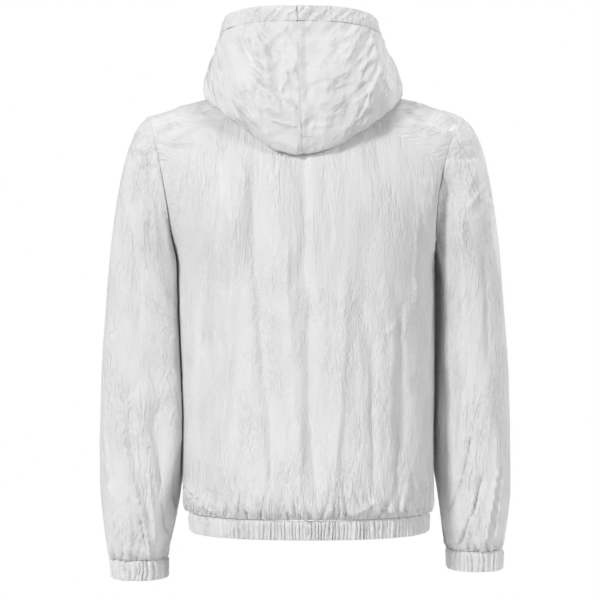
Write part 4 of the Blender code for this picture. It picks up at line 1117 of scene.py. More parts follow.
def folded_band(name, columns, rows, place, height, total, pleat, depth, seed):
    """A band folded over an elastic. place(angle, down) gives its outer face."""
    turns = np.linspace(0, 1, columns + 1)
    angle = 2 * pi * turns - pi / 2
    down, inward = folded_edge(rows, 0.5 * FOLDED_WALL / height * np.sin(pi * OVER_EDGE))
    run = run_along(np.stack((down * height, inward * FOLDED_WALL), axis=-1), 0)
    angle, down = np.meshgrid(angle, down)
    inward = np.broadcast_to(inward[:, None], down.shape)
    base = place(angle, down)
    middle = base.reshape(-1, 3).mean(axis=0)
    out = place(angle + 1e-3, 0 * down) - place(angle - 1e-3, 0 * down)
    out = unit(np.cross(out, (0, 0, 1)))
    out *= np.sign((out * (base - middle)).sum(axis=-1, keepdims=True))
    base = base - out * (inward * FOLDED_WALL)[..., None]
    at = np.broadcast_to((turns * total)[None, :], down.shape)
    ring = 2 * pi * turns[None, :] + 0 * down
    patches = tube_noise(ring, total / 2 / pi, down * height, 0.02, 0.02, seed + 3)
    wander = PLEAT_WANDER * pleat * patches
    stands = pleats(at + wander, total, pleat, seed, 0.5) * depth
    small = pleats(at + 2 * wander, total, pleat * SMALL_PLEAT, seed + 1)
    stands += SMALL_DEPTH * depth * small
    seam = mix(0.6, 1.0, smooth_step(down * height / 0.004))
    tucked = BAND_TUCK * hump(down * height, TUCK_REACH) * (1 - inward)
    outward = out * ((stands - 0.5 * depth) * seam * (1 - 2 * inward) - tucked)[..., None]
    cut = np.stack((at, np.broadcast_to(run[:, None], down.shape)), axis=-1)
    return Cloth(name, [base + outward], [cut], Vector(middle), ring=True)


print("the elastic is", BAND_ROUND, "m round at the hem and", CUFF_ROUND, "m at a wrist")

# %% Make the hem band and cuffs
hem_cloth = folded_band(
    "hem_band_cloth", 1000, 7, band_place,
    HEM_TOP - SEAM - HEM_BOTTOM - EDGE_ROUND, BAND_ROUND, 0.0058, 0.0052, 31,
)
cuff_cloths = both(lambda side: folded_band(
    "cuff_cloth_" + SIDE_NAMES[side], 264, 10, lambda angle, down: cuff_place(side, angle, down),
    CUFF_HEIGHT - EDGE_ROUND, CUFF_ROUND, 0.0072, 0.0066, 300 + side,
))
hem_band = hem_cloth.finish(FOLDED_CLOTH)
cuffs = both(lambda side: cuff_cloths[side].finish(FOLDED_CLOTH))

# %% [markdown]
# ## Hood
# The hood's two halves meet in a seam down the middle. The cloth was packed flat, so it keeps
# crisp creases that meet at points, with nearly flat facets between them. Beside the seam the
# allowance lies under the cloth as a band a few millimetres wide. The under layer must clear the
# shoulders it lies on, so each of its points is lifted off the panels where it would come too
# near.

# %% Folds of the hood
HOOD_FOLDS = folds(
    (78, 6, 34, -30, 4.5, 5.1, 0.8, 0.3),
    (34, -30, 12, -50, 4, 4.1, 0.8, 0.3),
    (72, -4, 40, -34, 3.5, 3.1, 0.8),
    (56, 47, 26, 70, 4, 3.7, 0.8),
    (60, 47, 38, 29, 4.5, 4.4, 0.9, 0.5),
    (38, 29, 44, 14, 4, 3.1, 0.9, 0.4),
    (27, 6, 26, -8, 4, 3.1, 0.8),
    (26, -6, 36, -28, 4, 3.1, 0.8),
    (90, 50, 80, 75, 4.5, 3.4, 0.8),
    (100, -20, 40, -34, 6, 2.4, 0.5),
    (36, -38, 30, -50, 3, -2.7, 0.8),
    (46, -66, 12, -76, 3, 2.4, 0.7),
    (8, -1, -16, -8, 4, 2.4, 0.7),
    (-2, -26, -76, -6, 6, 2.7, 0.5),
    (-10, -48, -74, -22, 6, 2, 0.5),
    (-97, -12, -87, -52, 4, 4.4, 0.8),
    (-97, -18, -70, -42, 4, 4.1, 0.8),
    (-78, 6, -104, 30, 5, 4.8, 0.8, 0.4),
    (-78, 6, -82, -14, 4.5, 4.1, 0.8, 0.4),
    (-104, 30, -98, 62, 5, 4.1, 0.8, 0.4),
    (-112, -2, -124, 22, 4, 4.1, 0.9),
    (-112, -2, -128, -24, 4, 3.7, 0.9),
    (-124, 10, -138, -6, 3.5, 3.1, 0.9),
    (-4, -76, -40, -72, 3, 2, 0.6),
    (-12, -64, -60, -54, 4, 1.7, 0.5),
    (-74, 72, -50, 50, 4, 1.7, 0.7),
)
print(len(HOOD_FOLDS["width"]), "creases on the hood")

# %% Heights of the hood's cloth
HOOD_SEED = 71
ALLOWANCE = 0.0085        # width of the doubled cloth beside the hood's centre seam
CRUSHED = {LEFT: 1.30, RIGHT: 0.60}       # the left half was packed tighter than the right one
HOOD_FACETS = (           # width, length, slant of both, height and seed of each layer
    (0.036, 0.031, 0.0, 0.0, 0.0040, 3),
    (0.019, 0.021, 0.4, -0.3, 0.0015, 4),
    (0.0085, 0.0095, -0.5, 0.4, 0.0005, 6),
)
HOOD_PATCH, HOOD_PATCH_TWO, BUSY_PATCH = 0.030, 0.012, 0.045      # sizes of the gentle noises
HOOD_WARP, HOOD_WARP_TWO, HOOD_WARP_ALONG = 0.006, 0.0012, 0.0030
SEAM_CALM, TUNNEL_CALM = 0.25, 0.1        # share of the heights that is left at both seams
NECK_GATHER, GATHER_WIDTH = 0.0012, 0.009
SEAM_DEPTH, SEAM_REACH, ALLOWANCE_HEIGHT = 0.0010, 0.0016, 0.00035


def hood_heights(side, turn, share, base, across, along):
    x, z = base[..., 0], base[..., 2]
    warp = soft_noise(base / HOOD_PATCH, HOOD_SEED + side)
    warp_two = soft_noise(base / HOOD_PATCH_TWO, HOOD_SEED + 2 + side)
    u = side * across + HOOD_WARP * warp + HOOD_WARP_TWO * warp_two
    v = along + HOOD_WARP_ALONG * warp_two
    busy = smooth_step(0.5 + soft_noise(base / BUSY_PATCH, HOOD_SEED + 5))
    heights = 0.0
    for (width, length, slant, turned, height, seed), strength in zip(HOOD_FACETS, (1, 1, busy)):
        layer = facets((u + slant * v) / width, (v + turned * u) / length, HOOD_SEED + seed)
        heights = heights + height * strength * layer
    heights += fold_heights(HOOD_FOLDS, x, z, 0.15) * (base[..., 1] > 0)
    heights *= CRUSHED[side]
    shown = smooth_step((share - 0.34) / 0.10)
    lean = hood_lean(turn, share)
    from_seam = np.abs(x - lean)
    near_seam = smooth_step(from_seam / 0.010) * (turn < 0.5) + (turn >= 0.5)
    front_edge = smooth_step((1 - turn) / 0.05)
    near_tunnel = smooth_step((along[-1:] - along) / 0.014)
    heights *= mix(SEAM_CALM, 1.0, near_seam) * mix(TUNNEL_CALM, 1.0, near_tunnel)
    heights *= shown * front_edge
    gather = NECK_GATHER * (pleats(across, 0.6, GATHER_WIDTH, HOOD_SEED + 9) - 0.4)
    heights += gather * np.exp(-(1 - share) / 0.10) * shown * near_seam
    if side == RIGHT:
        doubled = (1 - smooth_step((from_seam - ALLOWANCE) / 0.0015)) * (turn < 0.5)
        heights += ALLOWANCE_HEIGHT * doubled
    return heights - SEAM_DEPTH * hump(from_seam, SEAM_REACH) * (turn < 0.5) * shown


print("the seam's allowance shows", ALLOWANCE * 1000, "mm wide")

# %% Make the hood halves
HOOD_COLUMNS, HOOD_ROWS, HOOD_CROWDING = 144, 156, 0.07
REST_FROM, REST_TO, REST_RAMP = 0.01, 0.55, 0.1   # the part of the profile that may lie on the body
ZIP_HOLD = 0.06           # share of the way round, beside the zip, where nothing is lifted


def lifted_off(points, turn, share, tree):
    """The same points, kept clear of the body's panels where the hood may lie on them."""
    lifted = points.copy()
    for index in zip(*np.nonzero((share > REST_FROM) & (share < REST_TO))):
        near, normal, _, _ = tree.find_nearest(Vector(points[index]))
        clearance = HOOD_CLEARANCE * smooth_step(share[index] / REST_RAMP) + NECK_RISE
        gap = (Vector(points[index]) - near).dot(normal)
        if gap < clearance:
            free = smooth_step((1 - turn[index]) / ZIP_HOLD)
            lifted[index] += np.array(normal) * (clearance - gap) * free
    return lifted


def hood_cloth(side):
    turn, v = np.meshgrid(np.linspace(0, 1, HOOD_COLUMNS + 1), np.linspace(0, 1, HOOD_ROWS + 1))
    turn = turn ** 1.15
    top = share_below_rim(turn, CASING_HEIGHT + CASING_SEAM)
    share = top * (v + HOOD_CROWDING * np.sin(2 * pi * v))
    panels = tree_of(back_cloth, front_cloth)
    base = lifted_off(hood_place(side, turn, share), turn, share, panels)
    base[:, 0, 0] = side * SEAM / 2 + hood_lean(0, share[:, 0])
    across, along = run_along(base, 1), run_along(base, 0)
    cut = np.stack((side * across, along), axis=-1)
    cloth = Cloth("hood_cloth_" + SIDE_NAMES[side], [base], [cut], Vector((0, 0, -0.02)))
    cloth.push([hood_heights(side, turn, share, base, across, along)])
    # Marks the allowance's strip on the right half, where the nylon paints shade into the colour.
    double = 1 - smooth_step((np.abs(base[..., 0] - hood_lean(turn, share)) - ALLOWANCE) / 0.0008)
    cloth.mark("doubled", [double * (turn < 0.5) * (side == RIGHT)])
    return cloth


hoods = both(lambda side: hood_cloth(side).finish())

# %% [markdown]
# ## The tunnel round the hood
# The hood's edge is turned over and stitched down, which makes a tunnel. It is modelled as it is
# sewn: up the outside, over the rim and down the inside. Its cloth is slightly gathered, so short
# slanting creases cross it, most of them near the middle of the back.

# %% Make the tunnel
CASING_COLUMNS, CASING_ROWS = 190, 12
TUNNEL_PUCKER, TUNNEL_CROWN = 0.0027, 0.0014      # height of its creases, and of its roundness
CREASE_SLANT, CREASE_WIDTH, CREASE_LENGTH = 0.9, 0.0062, 0.030
CROSS_SLANT, CROSS_WIDTH, CROSS_LENGTH = -1.3, 0.011, 0.012


def casing_cloth(side):
    past = 0.05 * np.sin(pi * OVER_EDGE) - 0.02 * (1 - np.cos(pi * OVER_EDGE))
    height, inward = folded_edge(CASING_ROWS, past)
    turns = np.linspace(0, 1, CASING_COLUMNS + 1) ** 1.1
    turn, height = np.meshgrid(turns, height)
    inward = np.broadcast_to(inward[:, None], turn.shape)
    place = hood_place(side, turn, mix(share_below_rim(turn, CASING_HEIGHT), 1.0, height))
    along = np.gradient(hood_place(side, turn, 1.0 + 0 * turn), axis=1)
    up = hood_place(side, turn, 1.0 + 0 * turn) - hood_place(side, turn, 0.9 + 0 * turn)
    out = unit(np.cross(along, up))
    out *= np.sign((out * place * (1, 1, 0)).sum(axis=-1, keepdims=True))
    width = run_along(place, 1)
    rise = height * CASING_HEIGHT
    slant = width + CREASE_SLANT * side * rise
    slant += 0.004 * soft_noise(places(width / 0.02, rise / 0.01, side), 81)
    near_middle = mix(0.5, 1.3, hump(width, 0.06))
    puckers = facets(slant / CREASE_WIDTH, rise / CREASE_LENGTH + side * 5, 83 + side)
    across = (width + CROSS_SLANT * rise) / CROSS_WIDTH
    puckers = puckers + 0.9 * facets(across, rise / CROSS_LENGTH, 87 + side)
    crown = np.sin(pi * np.clip(height, 0, 1)) ** 0.6
    stands = TUNNEL_PUCKER * near_middle * puckers * mix(0.25, 1.0, crown) + TUNNEL_CROWN * crown
    ends = smooth_step((1 - turn) / 0.04)
    shift = stands * ends * (1 - 2 * inward) - inward * FOLDED_WALL
    run = run_along(place - out * (inward * FOLDED_WALL)[..., None], 0)
    cut = np.stack((side * width, run), axis=-1)
    base = place + out * shift[..., None]
    middle = Vector((side * 0.10, -0.01, 0.05))
    return Cloth("hood_tunnel_" + SIDE_NAMES[side], [base], [cut], middle)


casing_cloths = both(casing_cloth)
casings = both(lambda side: casing_cloths[side].finish(FOLDED_CLOTH))

# %% [markdown]
# ## Shader maths written as sums
# A material is a graph of small nodes. When a socket is wrapped in a class that knows how to be
# added and multiplied, the graph can be written as plain sums: each operator adds one Math node.
# Every other node comes from one method, which takes its type, its settings and the values or
# links of its sockets.

# %% Values that can be added
class Value:
    """An output of a node. Sums and products of values add Math nodes."""

    def __init__(self, finish, socket):
        self.finish, self.socket = finish, socket

    def maths(self, operation, *others):
        values = dict(enumerate((self, *others)))
        return self.finish.node("Math", {"operation": operation}, values)

    def __add__(self, other):
        return self.maths("ADD", other)

    def __sub__(self, other):
        return self.maths("SUBTRACT", other)

    def __rsub__(self, other):
        return self.maths("MULTIPLY", -1.0).maths("ADD", other)

    def __mul__(self, other):
        return self.maths("MULTIPLY", other)

    def __abs__(self):
        return self.maths("ABSOLUTE")

    __radd__ = __add__
    __rmul__ = __mul__


print("operators:", [name for name in vars(Value) if name.startswith("__r")])

# %% A finish while it is made
class Finish:
    """A material, or the world, while its nodes are put together."""

    def __init__(self, name, made=None, shader="Principled BSDF"):
        self.material = made or bpy.data.materials.new(name)
        self.material.use_nodes = True
        self.tree = self.material.node_tree
        self.surface = self.tree.nodes[shader]

    def node(self, kind, settings=None, values=None, give=0):
        """Add a node of a type: its settings first, then the values or links of its sockets."""
        made = self.tree.nodes.new("ShaderNode" + kind)
        for name, setting in (settings or {}).items():
            setattr(made, name, setting)
        self.fill(made, values or {})
        return Value(self, made.outputs[give])

    def fill(self, node, values):
        for name, value in values.items():
            if isinstance(value, Value):
                self.tree.links.new(value.socket, node.inputs[name])
            else:
                node.inputs[name].default_value = value

    def stretched(self, vector, width, length, depth=1.0):
        """Places measured in cells of a width, a length and a depth."""
        size = (1 / width, 1 / length, 1 / depth)
        return self.node("VectorMath", {"operation": "MULTIPLY"}, {0: vector, 1: size})

    def noise(self, places, detail=1.0, roughness=0.5, distortion=0.0):
        values = {"Vector": places, "Scale": 1.0, "Detail": detail, "Roughness": roughness}
        return self.node("TexNoise", None, values | {"Distortion": distortion})

    def between(self, value, low, high, first=0.0, last=1.0):
        """A smooth ramp from first to last while value goes from low to high."""
        ends = {"Value": value, "From Min": low, "From Max": high, "To Min": first, "To Max": last}
        return self.node("MapRange", {"interpolation_type": "SMOOTHSTEP"}, ends)

    def tone(self, share, darkest, lightest):
        """A colour between two, by a value."""
        values = {0: share, 6: (*darkest, 1), 7: (*lightest, 1)}
        return self.node("Mix", {"data_type": "RGBA"}, values, give=2)

    def bump(self, height):
        """The normal of a surface that is raised by a height in metres."""
        return self.node("Bump", None, {"Height": height, "Strength": 1.0, "Distance": 1.0})

    def split(self, vector, axis):
        return self.node("SeparateXYZ", None, {0: vector}, give=axis)

    def ribs(self, across, spacing):
        """A wave from -1 to 1 that repeats at this spacing."""
        return (across * (2 * pi / spacing)).maths("SINE")

    def surfaced(self, wear, darkest, lightest, roughness, height):
        """Fill in the surface: its tone and roughness follow one value, its bump another."""
        self.fill(self.surface, {
            "Base Color": self.tone(wear, darkest, lightest),
            "Roughness": self.between(wear, 0.3, 0.7, *roughness),
            "Normal": self.bump(height),
        })
        return self.material


print("methods:", [name for name in vars(Finish) if not name.startswith("_")])

# %% [markdown]
# ## Nylon
# The cloth is a light woven nylon, white, a little see-through, with a soft gloss. The larger
# crumples are in the mesh. Finer ones are bump: short wavy creases a few millimetres apart that
# run mostly up and down the cut, small angular facets between them, and a fine grain. All follow
# the flat cut, so that they turn with the cloth. Where an allowance lies under the cloth, a
# painted shade darkens its colour, for the light that two layers let through less. Some light
# comes through the cloth, from a constant share of Translucent. Gathered parts get finer, denser
# creases.

# %% Sizes of the crinkle
# The darker colour is where the tone drifts at random, and also the painted shade over a seam
# allowance. DOUBLED_SHADE sets how far that painted shade darkens the cloth there.
WHITE, GREYER_AND_SHADED = (0.830, 0.830, 0.829), (0.735, 0.735, 0.737)
DRIFT, DOUBLED_SHADE = 0.3, 0.7   # how much tone drifts over the cloth, and an allowance darkens
SHEEN = 0.35              # soft brightness where the cloth is seen along its surface
SEEN_THROUGH = 0.10       # share of the light that comes through the cloth
THREAD, THREAD_HEIGHT = 0.00055, 0.0000025    # spacing and height of the woven threads
GRAIN, GRAIN_HEIGHT = (0.0016, 0.0022), 0.00009
GATHER_CREASES = (0.0066, 0.0520)             # width and length of creases beside an elastic
CRINKLES = {              # width, length and height of each layer of facets, then of creases
    "nylon": (
        ((0.0090, 0.0260, 0.00065),),
        ((0.0080, 0.0300, 0.00045), (0.0040, 0.0125, 0.00028), (0.0022, 0.0060, 0.00012)),
    ),
    "sleeve": (
        ((0.0100, 0.0300, 0.00115),),
        ((0.0090, 0.0340, 0.00080), (0.0042, 0.0130, 0.00044), (0.0022, 0.0060, 0.00016)),
    ),
    "hood": (
        ((0.0320, 0.0280, 0.00520), (0.0140, 0.0170, 0.00210)),
        ((0.0240, 0.0200, 0.00040), (0.0100, 0.0120, 0.00016), (0.0032, 0.0030, 0.00008)),
    ),
    "gathered_nylon": (
        ((0.0050, 0.0120, 0.00095),),
        ((0.0050, 0.0140, 0.00055), (0.0024, 0.0060, 0.00022)),
    ),
}
# Beside an elastic, on the body and on a sleeve: how much the crinkle grows, and the height of
# its long creases.
AT_ELASTIC = ((0.5, 0.0014), (-0.5, 0.0009))
print("kinds of nylon:", list(CRINKLES))

# %% Nylon
def creases(finish, cut, width, length, height):
    """Narrow wavy ridges, along the lines where a stretched noise crosses its middle value."""
    wave = finish.noise(finish.stretched(cut, width, length), 1.0, 0.5, 0.4)
    return height * (1 - 9 * abs(wave - 0.5)).maths("MAXIMUM", 0.0)


def flat_facets(finish, cut, width, length, height):
    """Cone-like hollows round scattered points, which meet in straight creases."""
    warp = finish.node("TexNoise", {"noise_dimensions": "2D"}, {
        "Vector": finish.stretched(cut, 2 * width, 2 * length), "Scale": 1.0, "Detail": 1.0,
    }, give="Color")
    cells = finish.node("VectorMath", {"operation": "ADD"}, {
        0: finish.stretched(cut, width, length), 1: warp,
    })
    away = finish.node("TexVoronoi", {"voronoi_dimensions": "2D"}, {"Vector": cells, "Scale": 1.0})
    return height * away


def nylon_finish(name, facet_layers, crease_layers):
    finish = Finish("crinkled " + name)
    cut = finish.node("UVMap", {"uv_map": "cut"})
    busy = finish.between(finish.noise(finish.stretched(cut, 0.040, 0.090)), 0.35, 0.65, 0.45, 1.25)
    height = 0.0 * busy
    for layer in facet_layers:
        height = height + flat_facets(finish, cut, *layer)
    for layer in crease_layers:
        height = height + creases(finish, cut, *layer)
    gathered = finish.node("Attribute", {"attribute_name": "gathered"}, give="Fac")
    more, tall = AT_ELASTIC[name == "sleeve"]
    height = height * busy * (1 + more * gathered)
    at_elastic = gathered.maths("POWER", 2.0)
    height = height + at_elastic * creases(finish, cut, *GATHER_CREASES, tall)
    height = height + GRAIN_HEIGHT * finish.noise(finish.stretched(cut, *GRAIN), 1.0)
    for axis in (0, 1):
        height = height + THREAD_HEIGHT * finish.ribs(finish.split(cut, axis), THREAD)
    # Painted shade: where the allowance lies under the cloth, its colour is darkened to stand in
    # for the light that two layers let through less.
    doubled = finish.node("Attribute", {"attribute_name": "doubled"}, give="Fac")
    drift = finish.noise(finish.stretched(cut, 0.030, 0.070), 2.0)
    share = finish.between(drift, 0.3, 0.7, 0.0, DRIFT) + DOUBLED_SHADE * doubled
    tone = finish.tone(share, WHITE, GREYER_AND_SHADED)
    normal = finish.bump(height)
    finish.fill(finish.surface, {
        "Base Color": tone, "Normal": normal, "IOR": 1.45,
        "Roughness": finish.between(drift, 0.25, 0.75, 0.42, 0.60),
        "Sheen Weight": SHEEN, "Sheen Roughness": 0.35,
    })
    through = finish.node("BsdfTranslucent", None, {"Color": (*WHITE, 1), "Normal": normal})
    front = Value(finish, finish.surface.outputs[0])
    mixed = finish.node("MixShader", None, {0: SEEN_THROUGH, 1: front, 2: through})
    finish.fill(finish.tree.nodes["Material Output"], {"Surface": mixed})
    return finish.material


nylon = {kind: nylon_finish(kind, *layers) for kind, layers in CRINKLES.items()}
for name, material in nylon.items():
    print(name, "has", len(material.node_tree.nodes), "nodes")

# %% [markdown]
# ## Copies of a small shape along a line
# Zip teeth and stitches repeat hundreds of times. Each is modelled once, with a few dozen faces,
# and its copies are set along a line of points on the cloth and joined into one mesh.

# %% Copies along a line
def spots_along(path, out, pitch, start=0.5):
    """Every pitch metres along a line: a middle, and the directions across, ahead and outward."""
    run = run_along(path, 0)
    at = np.arange(start * pitch, run[-1] - 0.3 * pitch, pitch)

    def read(values, shift):
        return np.stack([np.interp(at + shift, run, values[:, axis]) for axis in range(3)], axis=-1)

    ahead = read(path, pitch / 4) - read(path, -pitch / 4)
    across, ahead = unit(np.cross(ahead, read(out, 0.0))), unit(ahead)
    return read(path, 0.0), across, ahead, np.cross(across, ahead)


def copies(name, model, lines, material, proud=0.0):
    """One mesh of copies of a model at the spots of several lines."""
    middle, across, ahead, outward = (np.concatenate(values) for values in zip(*lines))
    shape = np.array([vertex.co for vertex in model.data.vertices])
    frames = np.stack((across, ahead, outward), axis=1)
    points = (middle + proud * outward)[:, None] + shape @ frames
    faces = [
        [corner + copy * len(shape) for corner in face.vertices]
        for copy in range(len(middle)) for face in model.data.polygons
    ]
    mesh = bpy.data.meshes.new(name)
    mesh.from_pydata(points.reshape(-1, 3), [], faces)
    mesh.materials.append(material)
    piece = bpy.data.objects.new(name, mesh)
    parts.objects.link(piece)
    piece.data.shade_smooth()
    piece.data.set_sharp_from_angle(angle=radians(40))
    print(f"{name}: {len(middle)} copies, {sum(len(face) - 2 for face in faces)} triangles")
    return piece


def model_done(model):
    """Take a finished model off the scene; its mesh stays for the copies."""
    bpy.ops.object.mode_set(mode="OBJECT")
    bpy.ops.object.transform_apply(location=True, rotation=True, scale=True)
    for collection in list(model.users_collection):
        collection.objects.unlink(model)
    return model


print("teeth and stitches are copies of one shape each, in the collection", parts.name)

# %% [markdown]
# ## The zip
# A moulded zip closes the front. Its tapes lie behind the slit and its closed teeth fill the gap.
# The line on which it lies runs up the slit's edge and on up the hood's front edge, so it is read
# from the same formulas as the cloth. One tooth is a small block whose head is drawn in and then
# widened, and which is bevelled. The teeth of the two tapes alternate. Stop, slider and pull keep
# their packed shape.

# %% Zip line
ZIP_FROM, ZIP_TOP, SLIDER_TOP = 0.5, -0.0215, 0.0040
ZIP_STEP, EVEN_OUT = 0.0005, 13           # spacing of its points, and how many are averaged
TAPE_DEPTH, TAPE_WALL, TAPE_OUTER = 0.0027, 0.0006, 0.0130
NECK_DIP, NECK_DIP_REACH, NECK_FRONT = 0.0020, 0.0140, -0.0780


def zip_rows():
    """The zip's line every half millimetre, the way out, and the cloth's slope beside it."""
    up = np.linspace(SLIT_UP, 1 + NECK_UP[FRONT], 160)
    rise = np.linspace(ZIP_FROM, 1, 60)[1:]
    edge = panel_place(LEFT, FRONT, 0 * up, up)
    edge[:, 0] = SLIT_HALF_WIDTH
    edge = np.concatenate((edge, hood_place(LEFT, 1.0 + 0 * rise, rise)))
    beside = np.concatenate((
        panel_place(LEFT, FRONT, 1 / 12 + 0 * up, up), hood_place(LEFT, 13 / 14 + 0 * rise, rise),
    ))
    slope = (beside - edge)[:, 1] / (beside - edge)[:, 0]
    heights = np.arange(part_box("zip_stop")[0].z, ZIP_TOP + SLIDER_TOP, ZIP_STEP)
    y = np.interp(heights, edge[:, 2], edge[:, 1])
    window = np.hanning(EVEN_OUT) / np.hanning(EVEN_OUT).sum()
    y = np.convolve(np.pad(y, EVEN_OUT // 2, mode="edge"), window, mode="valid")
    line = np.stack((0 * y, y, heights), axis=-1)
    along = unit(np.gradient(line, axis=0))
    out = np.stack((0 * y, -along[:, 2], along[:, 1]), axis=-1)
    return line, out, np.interp(heights, edge[:, 2], slope)


zip_path, zip_out, zip_slope = zip_rows()
print("zip line", len(zip_path), "points,", round(np.ptp(zip_path[:, 2]), 4), "m high")

# %% Tapes
TAPE_COLUMNS = 7


def tape_cloth(side):
    across = np.linspace(0.0003, TAPE_OUTER, TAPE_COLUMNS)
    dip = NECK_DIP * hump(zip_path[:, 2] - NECK_FRONT, NECK_DIP_REACH)
    sunk = zip_path - zip_out * (TAPE_DEPTH + dip)[:, None]
    base = np.repeat(sunk[:, None], TAPE_COLUMNS, axis=1)
    base[..., 0] = side * across
    base[..., 1] += zip_slope[:, None] * np.maximum(across - SLIT_HALF_WIDTH, 0)
    run = np.linspace(0, np.ptp(zip_path[:, 2]), len(zip_path))
    cut = np.stack(np.broadcast_arrays(side * across[None, :], run[:, None]), axis=-1)
    return Cloth("tape_" + SIDE_NAMES[side], [base], [cut], Vector((0, 0.1, -0.2)))


tapes = both(lambda side: tape_cloth(side).finish(TAPE_WALL))

# %% Metal and tape finishes
def grain(finish, size, detail):
    """Even noise in grains of one size, fixed to the object."""
    at = finish.node("TexCoord", give="Object")
    return finish.noise(finish.stretched(at, size, size, size), detail)


def metal_finish():
    """Satin grey-white paint on metal: slightly uneven in tone and gloss, in random patches."""
    finish = Finish("satin painted metal")
    cloud, speck = grain(finish, 0.004, 3.0), grain(finish, 0.0003, 2.0)
    tones = (0.58, 0.58, 0.585), (0.66, 0.66, 0.66)
    return finish.surfaced(cloud, *tones, (0.26, 0.44), 0.000012 * speck)


def tape_finish():
    """Woven tape: ribs along it, small picks across, matt."""
    finish = Finish("woven tape")
    cut = finish.node("UVMap", {"uv_map": "cut"})
    weave = 0.6 * finish.ribs(finish.split(cut, 0), 0.0011)
    weave = weave + finish.ribs(finish.split(cut, 1), 0.0007)
    wear = finish.noise(finish.stretched(cut, 0.003, 0.012), 2.0)
    tones = (0.73, 0.73, 0.735), (0.79, 0.79, 0.79)
    return finish.surfaced(wear, *tones, (0.72, 0.88), 0.00004 * weave)


def thread_finish():
    """Sewing thread: a fine even grain in tone, roughness and bump."""
    finish = Finish("sewing thread")
    strands = grain(finish, 0.0003, 1.0)
    tones = (0.74, 0.74, 0.74), (0.84, 0.84, 0.84)
    return finish.surfaced(strands, *tones, (0.50, 0.70), 0.00003 * strands)


painted_metal, woven_tape, thread = metal_finish(), tape_finish(), thread_finish()
print("finishes", [made.name for made in (painted_metal, woven_tape, thread)])

# %% One tooth
TOOTH_PITCH = 0.0025
TOOTH_FOOT = (0.0016, 0.00115, 0.0022)
TOOTH_STEPS = (           # length of each step from the foot to the tip, and its change of size
    (0.0008, (1, 0.62, 0.9)),
    (0.0009, (1, 2.0, 1)),
    (0.0004, (1, 0.6, 0.8)),
)


def face_towards(model, direction):
    """Select the one face that looks in a direction, with nothing else selected."""
    for part in (*model.data.vertices, *model.data.edges, *model.data.polygons):
        part.select = False
    face = max(model.data.polygons, key=lambda polygon: polygon.normal.dot(direction))
    face.select = True


def zip_tooth():
    select_only(camera)
    bpy.ops.mesh.primitive_cube_add(size=1, scale=TOOTH_FOOT, location=(0.0018, 0, 0))
    tooth = bpy.context.object
    bpy.ops.object.transform_apply(location=True, rotation=True, scale=True)
    face_towards(tooth, Vector((-1, 0, 0)))
    bpy.ops.object.mode_set(mode="EDIT")
    for length, change in TOOTH_STEPS:
        bpy.ops.mesh.extrude_region_move(TRANSFORM_OT_translate={"value": (-length, 0, 0)})
        bpy.ops.transform.resize(value=change)
    bpy.ops.object.mode_set(mode="OBJECT")
    rounded = tooth.modifiers.new("rounded", "BEVEL")
    rounded.width, rounded.segments, rounded.limit_method = 0.00012, 1, "ANGLE"
    rounded.angle_limit = radians(50)
    apply_modifier(tooth, "rounded")
    return model_done(tooth)


tooth = zip_tooth()
print("a tooth has", len(tooth.data.polygons), "faces")

# %% Teeth along the zip
closed = (zip_path[:, 2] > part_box("zip_stop")[1].z + 0.0004) & (zip_path[:, 2] < ZIP_TOP)
tooth_line = zip_path[closed] - 0.0011 * zip_out[closed]
left_teeth = spots_along(tooth_line, zip_out[closed], TOOTH_PITCH, 0.5)
right_teeth = spots_along(tooth_line, zip_out[closed], TOOTH_PITCH, 1.0)
right_teeth = (right_teeth[0], -right_teeth[1], -right_teeth[2], right_teeth[3])
teeth = copies("zip_teeth", tooth, (left_teeth, right_teeth), painted_metal)

# %% [markdown]
# ## Stitches
# Rows of stitches hold the hem band, the cuffs and the tunnel, and run beside the zip. A stitch
# is a short thick thread with drawn-in ends, half sunk in the cloth. Each row follows one row of
# points of the finished cloth, so it rises and falls with the pleats.

# %% One stitch and its rows
STITCH_LENGTH, STITCH_WIDTH, STITCH_PITCH = 0.0023, 0.00042, 0.0032


def one_stitch():
    select_only(camera)
    bpy.ops.mesh.primitive_uv_sphere_add(segments=6, ring_count=4, radius=0.5)
    stitch = bpy.context.object
    bpy.ops.transform.resize(value=(STITCH_WIDTH, STITCH_WIDTH * 0.8, STITCH_LENGTH))
    bpy.ops.object.transform_apply(location=True, rotation=True, scale=True)
    bpy.ops.object.mode_set(mode="EDIT")
    bpy.ops.mesh.select_all(action="SELECT")
    bpy.ops.transform.rotate(value=pi / 2, orient_axis="X", center_override=(0, 0, 0))
    return model_done(stitch)


stitch = one_stitch()


def row_of(cloth, number, pick):
    """A line of points of a finished cloth, with the cloth's normals there."""
    normals = cloth.read_normals()
    return cloth.grid(number)[pick], cloth.grid(number, normals)[pick]


def stitches(name, lines):
    spots = [spots_along(path, out, STITCH_PITCH) for path, out in lines]
    return copies(name, stitch, spots, thread, STITCH_WIDTH * 0.15)


print("a stitch has", len(stitch.data.polygons), "faces")

# %% Stitch the seams
SEWN_ROW, TUNNEL_ROW = 2, 1       # the rows of a band's and of the tunnel's grid with stitches
beside_zip = np.s_[SLIT_ROW + 2 : BODY_ROWS_BELOW + YOKE_ROWS // 2, 2]
cuff_rows = [row_of(cloth, 0, SEWN_ROW) for cloth in cuff_cloths.values()]
tunnel_rows = [row_of(cloth, 0, TUNNEL_ROW) for cloth in casing_cloths.values()]
sewn = {
    "stitches_hem": ([row_of(hem_cloth, 0, SEWN_ROW)], "gathered_nylon"),
    "stitches_cuffs": (cuff_rows, "gathered_nylon"),
    "stitches_tunnel": (tunnel_rows, "gathered_nylon"),
    "stitches_zip": ([row_of(front_cloth, number, beside_zip) for number in (0, 1)], "nylon"),
}
seams = {name: stitches(name, lines) for name, (lines, _) in sewn.items()}
